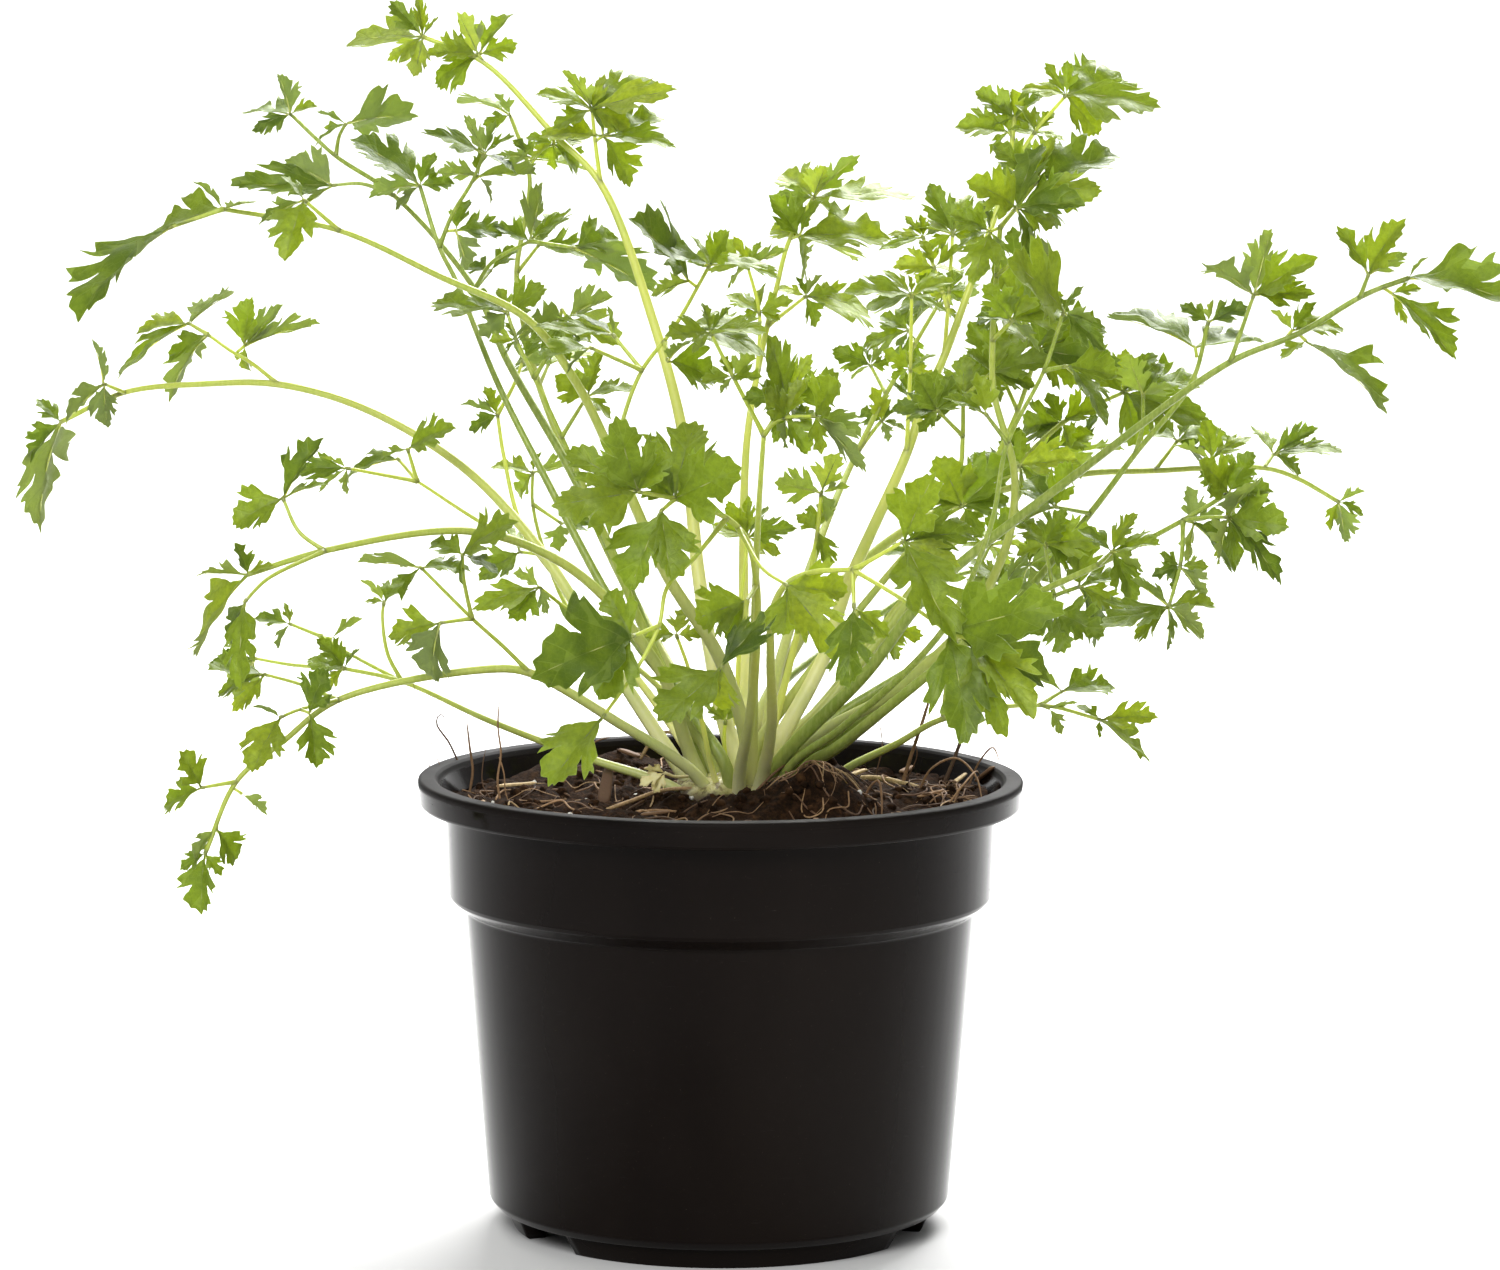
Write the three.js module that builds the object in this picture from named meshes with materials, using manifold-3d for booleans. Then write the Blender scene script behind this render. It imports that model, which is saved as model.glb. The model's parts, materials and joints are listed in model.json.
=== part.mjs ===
// Potted parsley: a plastic nursery pot of soil with one parsley plant, its fronds arching out on all sides.
// Millimetres, +Z up. The origin is on the ground under the middle of the pot, and -Y is the front.

import * as THREE from "three";
import { mergeVertices } from "three/addons/utils/BufferGeometryUtils.js";
import Module from "manifold-3d";

const wasm = await Module();
wasm.setup();

// Pot
const POT_SIDES = 40;
const RIM_TOP = 142.5;
const RIM_RADIUS = 95;
const RIM_ROUND = 1.2;
const BAND_BOTTOM = 134.1;
const WALL = 1.6;
const SHOULDER_TOP_RADIUS = 86.5;
const SHOULDER_RADIUS = 85.3;
const LEDGE_TOP = 106;
const LEDGE_BOTTOM = 101.2;
const BODY_TOP_RADIUS = 80;
const BODY_BOTTOM_RADIUS = 72.5;
const BODY_BOTTOM = 9.5;
const BASE_RADIUS = 70;
const FLOOR_BOTTOM = 6.7;
const FLOOR_TOP = 8.7;
const RIM_INNER_RADIUS = 88.8;
const BAND_TAPER = 0.4;
// How much higher the ledge lies inside than outside
const LEDGE_SHIFT = 0.5;
// The inner wall from the floor up to the rim, as radius and height
const POT_INSIDE = [
  [BODY_BOTTOM_RADIUS - WALL, FLOOR_TOP], [BODY_TOP_RADIUS - WALL, LEDGE_BOTTOM + LEDGE_SHIFT],
  [SHOULDER_RADIUS - WALL, LEDGE_TOP + LEDGE_SHIFT], [SHOULDER_TOP_RADIUS - WALL, BAND_BOTTOM],
];

// Feet: arcs under the floor, as start and end angle from +X, counter-clockwise seen from above
const FOOT_TOP_RADIUS = 68;
const FOOT_BOTTOM_RADIUS = 64.8;
const FOOT_WIDTH = 6;
const FOOT_SINK = 1;
const FOOT_ARCS = [[-134, -34], [-14, 86], [106, 206]];
const FOOT_STEPS = 5;
// How much each end of a foot draws in towards the ground, in degrees
const FOOT_END_TAPER = 1.6;

// Drain holes through the floor, between the feet and in the middle
const DRAIN_RADIUS = 5;
const DRAIN_RING_RADIUS = 50;
const DRAIN_COUNT = 4;
const DRAIN_SIDES = 8;

// Soil
const SOIL_LEVEL = 134;
const SOIL_GAP = 0.3;
const SOIL_RINGS = [0.3, 0.5, 0.75, 1];
const SOIL_SECTORS = 28;
const SOIL_ROUGHNESS = 1.1;
// The soil's surface takes its shape above this height
const SOIL_SHAPED_FROM = 116;
// Heaps and hollows: middle x and y, radius, height
const SOIL_HEAPS = [[34, 8, 17, 13], [-32, 66, 30, 4.5], [74, 14, 18, 4], [4, -16, 20, -1.5], [-62, -22, 22, 1.5]];

// Crown
const CROWN_MIDDLE = [6, 1, 133];
const CROWN_HALF_SIZE = [26, 25, 13];
const CROWN_ROOT_DEPTH = 30;
const CROWN_SIDES = 10;
const CROWN_RINGS = 5;
const CROWN_KNOBS = 5;
const CROWN_KNOB_HEIGHT = 0.07;

// Fronds
const CLEARANCE = 0.35;
const STALK_SIDES = 4;
const TWIG_SIDES = 3;
const TWIG_WIDTHS = [2, 2];
const ROOM_STEP = 5;

// Leaflets. Those under the least length are left out of the solids.
const LEAST_BLADE = 16;
const LARGE_BLADE = 20;
// Half of a leaflet's outline, as shares of its length and half width from the rib to the tip
const LARGE_HALF = [[0.5, 0.88], [0.74, 1], [0.66, 0.42]];
const SMALL_HALF = [[0.68, 1], [0.64, 0.38]];
const BLADE_THICKNESS = 0.65;
const BLADE_FOLD = 0.22;
const BLADE_ARCH = 0.16;
const BLADE_WIDTH = 0.92;
const SECTOR_SHARE = 0.45;
const WIDEST_SECTOR = 1.2;
const RIB_REACH = 1.2;
const STEM_WIDTH = 0.6;
const STEM_LENGTH = 1.8;
const SIDE_STEM_LENGTH = 3.2;
// A spray that points back along its rod by more than this cosine grows from the rod's side
const BACKWARD = 0.3;
// Least angle between a leaflet and the stem of its spray
const STEM_ANGLE = 0.3;

// A leaflet leans forwards or backwards by one of these angles about its own mean, to where there is most room
const LEANS = [0, 10, -10, 20, -20, 30, -30];
const LEAN_OF_DEPTH = 0.1;
const LEAN_COST = 0.05;
// Rods nearer to a leaflet's base than the first share of its length, and all beyond the second, are not minded
const OWN_REACH = 0.45;
const FAR_REACH = 2;
// Places on a leaflet that keep their distance, as shares of its length and half width
const ROOM_POINTS = [[0.4, 0], [0.7, 0.8], [0.7, -0.8], [1, 0]];

// Where the plant is looked at from. Stalk points are given as they line up with the pot's middle plane.
const EYE = new THREE.Vector3(9, -1786, 410);

// One entry a frond: name, tone, width at the foot and at the tip, stalk points, then its leaf sprays.
// A point is [x, z] as it lines up with the middle plane y = 0, then its real y. A spray is [points of its
// twig, the first on the stalk or on another twig, then leaflets], and a leaflet is
// [direction in degrees from +X towards +Z, length, turn of its face from the front, 90 facing up].
const FRONDS = [
  ["frond_low_left_arch", "light", [4.2, 2.2],
    [[-7, 142, -10], [-17, 150, -13], [-30, 158, -16], [-60, 175, -22], [-73, 176, -25],
      [-120, 166, -35], [-137, 153, -38], [-152, 140, -41], [-162, 117, -43]], [
      [[[-60, 175, -22], [-68, 183, -29], [-78, 192, -38], [-94, 208, -50]],
        [[172, 19, 60], [5, 15, 70], [225, 10, 50]]],
      [[[-78, 192, -38], [-80.5, 204, -48], [-81, 212, -54]], [[150, 11, 40], [48, 19, 40], [345, 12, 30], [262, 9, 30]]],
      [[[-78, 192, -38], [-88, 190.5, -44]], [[190, 17, 10], [252, 17, 10]]],
      [[[-120, 166, -35], [-132, 163, -50], [-138, 160.5, -56]], [[235, 17, 20], [150, 9, 40]]],
      [[[-132, 163, -50]], [[75, 15, 25], [278, 17, 10]]],
      [[[-120, 166, -35], [-132, 171, -20], [-143, 174, -10]], [[195, 19, 30], [165, 16, 45], [230, 15, 20]]],
      [[[-152, 140, -41], [-163, 138, -46]], [[110, 13, 30], [205, 15, 20]]],
      [[[-153, 138, -41]], [[325, 10, 30]]],
      [[[-158, 128, -42]], [[300, 13, 20], [222, 11, 30]]],
      [[[-162, 117, -43]], [[262, 19, 20], [205, 9, 30], [310, 8, 30]]],
    ]],
  ["frond_low_left", "light", [3.6, 2],
    [[-15, 139, -1], [-24, 142.5, 1], [-40, 147.5, 6], [-72, 159.5, 19], [-100, 172, 34],
      [-118, 176, 45]], [
      [[[-118, 176, 45]], [[118, 12, 30], [168, 13, 40], [228, 10, 20], [60, 8, 40]]],
      [[[-100, 172, 34], [-117, 181, 52], [-125, 186, 60]], [[40, 11, 50], [275, 9, 30]]],
      [[[-125, 186, 60], [-135, 190, 70]], [[100, 7, 40], [165, 12, 50], [235, 9, 40]]],
      [[[-118, 176, 45], [-134, 177, 64], [-146, 179, 76]], [[185, 16, 30], [215, 18, 20], [240, 15, 30], [150, 11, 50]]],
      [[[-100, 172, 34], [-104.5, 181, 32], [-106, 193, 34], [-105.5, 197, 34]], [[125, 10, 30], [55, 11, 40], [170, 6, 40]]],
    ]],
  ["frond_left_mid_arch", "light", [5, 2.6],
    [[-9, 148, -2], [-12.5, 158, -8], [-15, 166, -13], [-18, 174, -17], [-36, 198.5, -27],
      [-54, 212, -36], [-80, 219.5, -50], [-124, 213, -68], [-148, 205.5, -76]], [
      [[[-124, 213, -68], [-132, 219, -66], [-137, 229.5, -62]], [[63, 22, 35], [203, 17, 40], [32, 14, 60]]],
      [[[-124, 213, -68], [-142, 204, -86], [-149, 197, -94]], [[263, 24, 25], [243, 17, 50]]],
      [[[-148, 205.5, -76]], [[225, 32, 35], [172, 15, 20], [105, 10, 30], [30, 8, 50]]],
    ]],
  ["frond_long_left", "light", [5.2, 2.4],
    [[-14, 147, 7], [-32.5, 175, 14], [-57, 214, 26], [-80, 239, 39], [-111, 257.5, 51],
      [-138, 265, 60], [-162, 265, 66], [-186, 262.3, 72], [-206, 253, 76]], [
      [[[-57, 214, 26], [-73, 221, 28], [-95, 235, 26]], []],
      [[[-95, 235, 26], [-98, 245, 20]], [[38, 16, 50], [190, 9, 50]]],
      [[[-95, 235, 26], [-101, 242, 34]], [[186, 17, 55]]],
      [[[-95, 235, 26], [-117, 239, 14]], [[178, 18, 40], [215, 12, 40], [262, 8, 20], [140, 9, 50]]],
      [[[-138, 265, 60], [-147, 272, 66], [-153, 275.5, 70], [-160, 280.5, 76]], [[222, 24, 20], [208, 17, 30]]],
      [[[-151, 275, 69]], [[85, 15, 10], [25, 23, 15], [268, 9, 10], [50, 17, 10]]],
      [[[-160, 280.5, 76], [-166, 284, 82]], [[205, 30, 55], [45, 17, 70], [180, 18, 40]]],
      [[[-186, 262.3, 72], [-192.5, 265, 64]], [[95, 15, 50], [215, 17, 60], [270, 14, 20]]],
      [[[-186, 262.3, 72]], [[198, 10, 60]]],
      [[[-206, 253, 76]], [[243, 35, 50], [135, 11, 50], [222, 18, 40]]],
    ]],
  ["frond_upper_left_arch", "light", [5.4, 2.2],
    [[8.5, 149, -5], [7, 159, -12], [-1, 181, -22], [-17, 206, -33], [-33, 241, -46], [-46, 267, -54],
      [-61, 286, -61], [-88, 299, -68], [-119, 313, -74], [-155, 319.5, -80]], [
      [[[-119, 313, -74], [-130, 322.5, -80]], [[250, 16, 20], [200, 15, 30], [120, 9, 60]]],
      [[[-155, 319.5, -80]], [[190, 25, 50], [125, 12, 70], [25, 11, 50]]],
      [[[-155, 319.5, -80], [-172, 313.5, -84]], [[213, 31, 60]]],
      [[[-33, 241, -46], [-31, 254, -58], [-25, 270, -66], [-15, 283.5, -70], [-4, 303, -72]], []],
      [[[-25, 270, -66], [-34, 281, -62]], [[165, 23, 60], [95, 9, 40], [142, 14, 50]]],
      [[[-25, 270, -66], [-41, 277, -82]], [[178, 13, 70], [215, 10, 60]]],
      [[[-18, 279, -69], [-17, 273, -76]], [[58, 10, 30], [345, 17, 30]]],
      [[[-15, 283.5, -70]], [[12, 19, 50], [352, 27, 65]]],
      [[[-8, 296, -71]], [[120, 26, 70], [195, 12, 30]]],
      [[[-4, 303, -72]], [[112, 10, 40], [65, 11, 30], [160, 16, 50], [8, 20, 70]]],
    ]],
  ["frond_far_up_left", "dark", [4.6, 2],
    [[-7.5, 149, 6], [-10, 157, 8], [-19, 177, 12], [-31, 206, 21], [-48, 240, 35], [-67, 273, 51],
      [-77, 295, 63], [-102, 324, 83], [-120, 336, 94], [-134, 349, 102]], [
      [[[-77, 295, 63], [-72, 303, 60], [-60, 310, 52]], [[80, 17, 25], [45, 15, 30], [150, 12, 40]]],
      [[[-60, 310, 52], [-46, 308, 44]], [[335, 27, 35], [15, 15, 40]]],
      [[[-77, 295, 63], [-72, 301, 74]], [[45, 12, 30], [170, 9, 50]]],
      [[[-102, 324, 83], [-112, 327.5, 84], [-121, 327, 84]], [[178, 31, 35], [152, 17, 40], [208, 14, 50]]],
      [[[-120, 336, 94], [-119, 342, 98], [-117, 346, 102]], [[148, 10, 40], [18, 20, 70], [200, 12, 50]]],
      [[[-134, 349, 102]], [[100, 13, 30], [168, 17, 45], [195, 13, 50], [25, 9, 60]]],
    ]],
  ["frond_upper_left_mid", "dark", [4.4, 2],
    [[1.5, 146, -13], [-6, 158, -8], [-11, 166, -5], [-28, 187, 1], [-57, 240, 18], [-70, 266, 28],
      [-83, 298, 44], [-88, 308, 49], [-94, 327, 56]], [
      [[[-88, 308, 49], [-84, 318, 44], [-78, 328, 38], [-74, 337, 33]], [[150, 19, 40], [115, 13, 40], [40, 11, 50]]],
      [[[-78, 328, 38]], [[170, 13, 50], [8, 18, 65]]],
      [[[-86, 313, 47]], [[5, 16, 70]]],
      [[[-94, 327, 56]], [[137, 27, 65], [178, 16, 35], [10, 11, 40], [215, 11, 40]]],
    ]],
  ["frond_back_left_tall", "light", [4.8, 2],
    [[-2.5, 149, 8.5], [-10, 165, 22], [-36, 215, 66], [-57, 265, 103], [-62, 285, 115], [-64, 300, 124],
      [-60, 330, 139], [-66, 349, 149]], [
      [[[-60, 333, 141]], [[355, 18, 60], [20, 12, 30], [165, 14, 45], [135, 10, 30]]],
      [[[-66, 349, 149]], [[148, 18, 50], [120, 9, 40], [195, 10, 50]]],
      [[[-57, 265, 103], [-54, 272, 112]], [[20, 14, 40], [170, 12, 50], [75, 13, 30]]],
      [[[-64, 300, 124], [-57, 309, 132]], [[60, 15, 40], [355, 15, 50], [120, 11, 50]]],
    ]],
  ["frond_inner_left", "light", [4.6, 2],
    [[-3.5, 149, 2], [-13, 165, 5], [-27, 195, 8], [-38, 222, 4], [-50, 249, -5], [-58.5, 267.5, -9]], [
      [[[-58.5, 267.5, -9], [-52, 279, -15], [-50, 289, -20]], [[185, 19, 40], [338, 17, 30], [262, 11, 20], [35, 14, 40]]],
      [[[-58.5, 267.5, -9], [-64, 279, -7], [-67, 288, -5]], [[172, 27, 65], [150, 13, 60], [110, 8, 50]]],
      [[[-50, 249, -5], [-42, 262, -16]], [[20, 15, 45], [75, 14, 40], [325, 10, 40]]],
    ]],
  ["frond_left_slim", "light", [3.4, 1.8],
    [[-9, 148, 12.5], [-20, 165, 22], [-46, 198, 42], [-62, 220, 54], [-68, 243, 64], [-70, 256, 69]], [
      [[[-70, 256, 69]], [[155, 12, 40], [205, 11, 30], [112, 10, 50]]],
      [[[-70, 256, 69], [-65, 265, 75], [-62, 273, 79]], [[60, 13, 40], [115, 7, 50], [10, 9, 50]]],
    ]],
  ["frond_young_left", "light", [3.2, 1.6],
    [[-4, 149, 15], [-15, 166, 32], [-30, 180, 52], [-47, 194, 72], [-55, 212, 84], [-59, 228, 93],
      [-59, 238, 98]], [
      [[[-47, 194, 72], [-57, 202, 64]], [[188, 21, 40], [150, 9, 40], [230, 15, 20], [300, 9, 20]]],
      [[[-55, 212, 84], [-63, 213, 90]], [[110, 10, 10], [205, 15, 20]]],
      [[[-59, 228, 93], [-50, 222, 88]], [[255, 9, 20], [10, 12, 50]]],
      [[[-59, 238, 98]], [[165, 14, 50], [15, 11, 60], [235, 12, 30], [75, 7, 40]]],
    ]],
  ["frond_central_tall", "pale", [6, 2.4],
    [[4, 149, 3], [0, 165, 8], [-7, 205, 20], [-12, 249, 31], [-21.5, 285, 39], [-38, 328, 47],
      [-52.6, 343.3, 52], [-74, 365, 59], [-93, 373, 64]], [
      [[[-38, 328, 47], [-39.7, 341, 46], [-40.7, 351, 44]], [[155, 18, 50], [33, 25, 35], [19, 26, 60], [75, 12, 30]]],
      [[[-39.7, 341, 46]], [[172, 20, 45], [27, 20, 20], [3, 22, 50]]],
      [[[-74, 365, 59]], [[62, 17, 35], [22, 13, 30], [168, 15, 30], [207, 18, 35]]],
      [[[-52.6, 343.3, 52]], [[322, 13, 50], [205, 11, 40]]],
      [[[-93, 373, 64]], [[130, 16, 20], [178, 27, 50], [205, 13, 40], [60, 8, 60]]],
    ]],
  ["frond_back_centre", "pale", [4.8, 2],
    [[8.5, 150, 10], [7.5, 170, 23], [7.5, 245, 76], [11, 270, 92], [16.5, 295, 108], [20.7, 311, 117],
      [28, 324, 124]], [
      [[[11, 270, 92], [11.4, 288, 84], [7.7, 302.6, 76]], [[165, 18, 55], [102, 10, 20], [28, 13, 60], [65, 9, 40]]],
      [[[14, 284, 101], [25.8, 293.3, 112]], [[12, 11, 30], [355, 24, 60], [110, 7, 40]]],
      [[[20.7, 311, 117]], [[125, 16, 15], [165, 11, 20], [5, 32, 65], [345, 22, 70]]],
      [[[28, 324, 124]], [[135, 15, 20], [72, 12, 30], [8, 34, 60], [50, 20, 30], [328, 15, 30]]],
    ]],
  ["frond_front_upright", "mid", [4.6, 2.2],
    [[9.5, 147, -12], [10, 165, -23], [10.5, 190, -39], [11, 215, -56], [12, 235, -70], [13, 250, -80]], [
      [[[13, 250, -80], [4.5, 266, -86], [-3.8, 282, -92]], [[175, 12, 50], [100, 9, 40], [15, 16, 60]]],
      [[[13, 250, -80], [18, 255, -90], [29, 256, -99]], [[320, 22, 45], [345, 14, 30], [285, 11, 20]]],
      [[[13, 250, -80], [20, 261, -84]], [[103, 19, 5], [25, 19, 10], [165, 12, 10], [250, 13, 15], [65, 15, 10]]],
    ]],
  ["frond_front_arch", "dark", [4.4, 2.2],
    [[6, 144, -18], [9, 160, -33], [11, 185, -55], [11, 203, -72], [8.4, 216, -86], [1.5, 224, -99],
      [-14.5, 230, -116]], [
      [[[-14.5, 230, -116]], [[82, 24, 10], [30, 20, 15], [140, 14, 20]]],
      [[[-14.5, 230, -116], [-26, 232, -128]], [[108, 22, 10], [148, 25, 10], [185, 22, 20], [68, 16, 15]]],
      [[[-14.5, 230, -116], [-19, 226, -124]], [[247, 24, 15], [280, 16, 15]]],
      [[[1.5, 224, -99], [-8, 212, -108], [-17, 202, -114], [-19.5, 190, -118], [-26, 177, -121], [-37, 161, -124]],
        [[228, 25, 45]]],
      [[[-19.5, 190, -118], [-28, 186.5, -124]], [[120, 15, 15], [192, 27, 15], [235, 19, 15]]],
      [[[5, 221, -93], [13, 208, -110], [20.4, 203, -118]], [[350, 19, 15], [312, 23, 10], [272, 17, 15]]],
      [[[11, 203, -72], [8, 198, -84]], [[200, 19, 15], [250, 17, 30]]],
      [[[8, 198, -84], [6, 186, -90], [0, 177, -94]], [[222, 22, 15], [265, 15, 25]]],
    ]],
  ["frond_front_right_arch", "dark", [4.6, 2.2],
    [[13.5, 144, -18], [16, 160, -36], [15.5, 180, -64], [16, 195, -88], [20, 203, -103], [28, 207, -118],
      [41, 208, -133]], [
      [[[41, 208, -133], [45, 210, -136], [57, 217, -141]], [[75, 20, 10], [12, 23, 20], [298, 27, 15], [335, 17, 20]]],
      [[[41, 208, -133], [56, 199, -145], [71, 188.5, -153]], [[25, 28, 20], [334, 36, 35], [285, 27, 10]]],
      [[[71, 188.5, -153], [78, 186, -157]], [[292, 28, 10], [315, 22, 20]]],
      [[[41, 208, -133], [41.5, 196, -137]], [[322, 14, 20], [262, 20, 15]]],
    ]],
  ["frond_right_tall", "pale", [6, 2.4],
    [[15.5, 149, -4.5], [20, 157, -3], [32, 180, 4], [39, 202, 15], [57.5, 244.5, 36], [63, 261, 40],
      [69, 275, 43], [80, 306, 50], [88, 331, 55], [90, 349, 58]], [
      [[[69, 275, 43], [70, 290, 56], [71.3, 313, 66]], [[113, 18, 20], [78, 15, 30], [40, 19, 40], [162, 14, 60]]],
      [[[70, 290, 56], [65, 304, 64], [62, 312, 68]], [[192, 15, 50], [165, 11, 40], [95, 7, 40]]],
      [[[57.5, 244.5, 36], [58.5, 272, 26], [58.7, 294, 18]], [[168, 21, 65], [190, 15, 50], [25, 14, 60], [95, 6, 60]]],
      [[[88, 331, 55], [96, 344, 50], [106, 356, 46]], [[5, 29, 60], [22, 22, 45], [88, 11, 30], [160, 14, 60]]],
      [[[90, 342, 57]], [[168, 17, 50], [18, 12, 40]]],
      [[[90, 349, 58]], [[142, 15, 30], [95, 9, 40], [42, 15, 40]]],
    ]],
  ["frond_right_inner", "light", [5, 2.2],
    [[22.5, 149, -8], [34, 158, -7.5], [50, 167, -11], [75, 189, -20], [88, 213, -32], [91, 226, -38],
      [91, 240, -44], [84.5, 264, -54], [84, 280, -59], [85, 300, -64], [86, 315, -68]], [
      [[[86, 315, -68], [91, 321, -74]], [[15, 17, 20], [340, 15, 10], [78, 21, 15]]],
      [[[86, 315, -68], [97, 329, -62]], [[25, 29, 15], [72, 15, 30], [350, 19, 40]]],
      [[[86, 315, -68]], [[245, 15, 15], [150, 13, 30]]],
      [[[85, 300, -64], [91, 305, -72]], [[310, 14, 15], [20, 14, 20]]],
      [[[84, 280, -59], [90, 286, -68]], [[70, 16, 10], [20, 17, 20], [125, 13, 10]]],
    ]],
  ["frond_back_right", "light", [4.6, 2],
    [[13.5, 150, 14], [16, 168, 20], [21, 188, 36], [34, 226, 84], [42, 244.5, 108], [51, 263, 122],
      [59.5, 278, 132], [67, 291, 140]], [
      [[[67, 291, 140]], [[60, 15, 30], [28, 13, 40], [105, 13, 20], [170, 13, 50]]],
      [[[59.5, 278, 132], [58, 283, 142]], [[197, 18, 40], [285, 16, 15], [150, 11, 50]]],
      [[[42, 244.5, 108], [50, 255, 120], [58, 262, 130]], [[20, 15, 50], [75, 13, 30], [340, 13, 40]]],
      [[[51, 263, 122], [46, 272, 134]], [[150, 13, 40], [60, 10, 40]]],
    ]],
  ["frond_young_right", "pale", [3.6, 1.8],
    [[14.5, 149, 2], [17, 160, 4], [23.4, 186, 3], [29.5, 217, 1], [31, 232, 0]], [
      [[[31, 232, 0]], [[165, 15, 40], [70, 14, 30], [20, 9, 40], [290, 9, 30]]],
      [[[29.5, 217, 1]], [[75, 11, 20], [290, 11, 20], [140, 8, 30]]],
    ]],
  ["frond_thin_right", "mid", [3.2, 1.6],
    [[22, 146, -15], [38, 158, -31], [70, 190, -66], [84, 222, -90], [89, 248, -104],
      [100, 270.5, -115], [106, 289, -122]], [
      [[[106, 289, -122]], [[128, 23, 55], [60, 9, 40], [322, 16, 40], [350, 10, 60]]],
      [[[100, 270.5, -115], [107, 272, -120]], [[350, 16, 60], [320, 18, 40]]],
      [[[89, 248, -104], [82, 257, -112]], [[150, 13, 40], [95, 12, 30]]],
    ]],
  ["frond_right_reach", "light", [5, 2.4],
    [[17.5, 146, -12], [45, 175, -28], [66, 202, -40], [114, 241, -60], [158, 273.6, -72],
      [179, 282.5, -76], [200, 295, -80], [213, 300, -82]], [
      [[[158, 273.6, -72], [161.5, 284, -78], [165, 294.5, -84]], [[140, 20, 15], [75, 19, 10], [42, 20, 10], [5, 17, 20]]],
      [[[175, 281, -75]], [[130, 9, 30], [62, 9, 30], [12, 17, 45]]],
      [[[179, 282.5, -76]], [[333, 28, 50], [200, 9, 30]]],
      [[[198, 294, -80], [200.5, 301, -86]], [[118, 17, 30], [74, 18, 10], [35, 13, 20]]],
      [[[205, 297, -81]], [[322, 25, 40], [300, 11, 30], [15, 9, 40]]],
      [[[213, 300, -82]], [[3, 29, 55], [60, 8, 50]]],
    ]],
  ["frond_right_up", "light", [4.4, 2],
    [[21, 149, -1], [34, 160, 3], [75, 186, 3], [91, 197, 0], [115, 226, -10], [129, 245, -17],
      [146, 267, -25], [151, 286, -30]], [
      [[[151, 286, -30]], [[142, 10, 50], [28, 13, 50], [85, 7, 50]]],
      [[[147.5, 275, -27]], [[150, 27, 60], [12, 21, 60]]],
      [[[129, 245, -17], [131, 254, -8], [131, 263, 0]], [[110, 14, 20], [60, 13, 20], [30, 10, 40]]],
      [[[115, 226, -10], [104, 228, -20]], [[80, 14, 30], [130, 13, 30], [190, 12, 40]]],
    ]],
  ["frond_right_flat", "light", [5, 2.2],
    [[8, 151, 17], [11, 158, 22], [14, 166, 28], [36, 202, 56], [67, 226, 77], [110, 238, 93],
      [135, 239.5, 99], [169, 240.5, 105], [179, 237.5, 107], [192.5, 230, 110]], [
      [[[192.5, 230, 110]], [[30, 9, 40], [338, 10, 40], [290, 13, 20], [248, 10, 30]]],
      [[[153, 240, 102]], [[92, 14, 10], [42, 15, 20], [150, 14, 40], [265, 13, 40]]],
      [[[169, 240.5, 105], [172, 245, 112]], [[12, 24, 40], [38, 16, 30], [120, 11, 40], [332, 14, 30]]],
      [[[135, 239.5, 99], [142, 249, 106]], [[15, 20, 40], [150, 14, 40], [60, 10, 40], [330, 15, 40]]],
      [[[110, 238, 93], [112, 246, 106]], [[75, 13, 30], [160, 13, 50], [10, 14, 40]]],
    ]],
  ["frond_right_low_mid", "light", [4.6, 2],
    [[27.5, 146, -5.5], [36, 151.5, -12], [60, 171, -30], [92, 197, -52], [118, 210, -68],
      [144, 224, -83], [158, 232.5, -90]], [
      [[[158, 232.5, -90]], [[8, 13, 50], [332, 21, 40], [65, 14, 30]]],
      [[[144, 224, -83], [152, 225, -90], [158, 225, -94]], [[355, 15, 20], [318, 25, 10], [290, 15, 20]]],
      [[[144, 224, -83]], [[320, 20, 50], [95, 10, 30]]],
      [[[144, 224, -83], [143.5, 211, -94], [140, 197, -102]], [[187, 20, 50], [222, 15, 30], [328, 13, 40]]],
      [[[118, 210, -68], [122, 214, -80]], [[300, 16, 30], [20, 13, 50], [70, 13, 40]]],
    ]],
  ["frond_low_right", "light", [3.4, 1.8],
    [[34, 141, 14], [41, 146, 15], [55, 153, 20], [69.5, 161, 25], [100, 165.5, 31], [119, 161, 34]], [
      [[[100, 165.5, 31], [107, 170, 38]], [[8, 18, 50], [150, 10, 50]]],
      [[[100, 165.5, 31]], [[300, 9, 30], [20, 9, 50]]],
      [[[119, 161, 34]], [[12, 17, 40], [326, 23, 40], [140, 9, 40], [262, 6, 30]]],
      [[[69.5, 161, 25], [70.5, 172, 34]], [[80, 12, 40], [20, 12, 40], [150, 10, 50]]],
    ]],
  ["frond_right_cluster_low", "mid", [4.4, 2],
    [[3, 150, 18.5], [10, 161, 34], [20, 173, 54], [48, 193, 96], [64, 203, 114], [80, 208, 128],
      [96, 210, 140]], [
      [[[96, 210, 140]], [[30, 16, 40], [340, 18, 30], [75, 13, 30], [290, 12, 30]]],
      [[[80, 208, 128], [84, 216, 138]], [[60, 15, 30], [125, 12, 40], [10, 13, 50]]],
      [[[64, 203, 114], [62, 213, 124]], [[95, 14, 20], [170, 13, 50], [20, 11, 40]]],
      [[[48, 193, 96], [50, 190, 108]], [[300, 14, 20], [350, 15, 40], [60, 9, 50]]],
    ]],
  ["frond_right_cluster_front", "mid", [4.4, 2],
    [[26.5, 148, 0.5], [40, 157, -1], [58, 169, -3], [72, 181, -6], [88, 192, -11], [104, 200, -18],
      [112, 203, -22]], [
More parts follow.
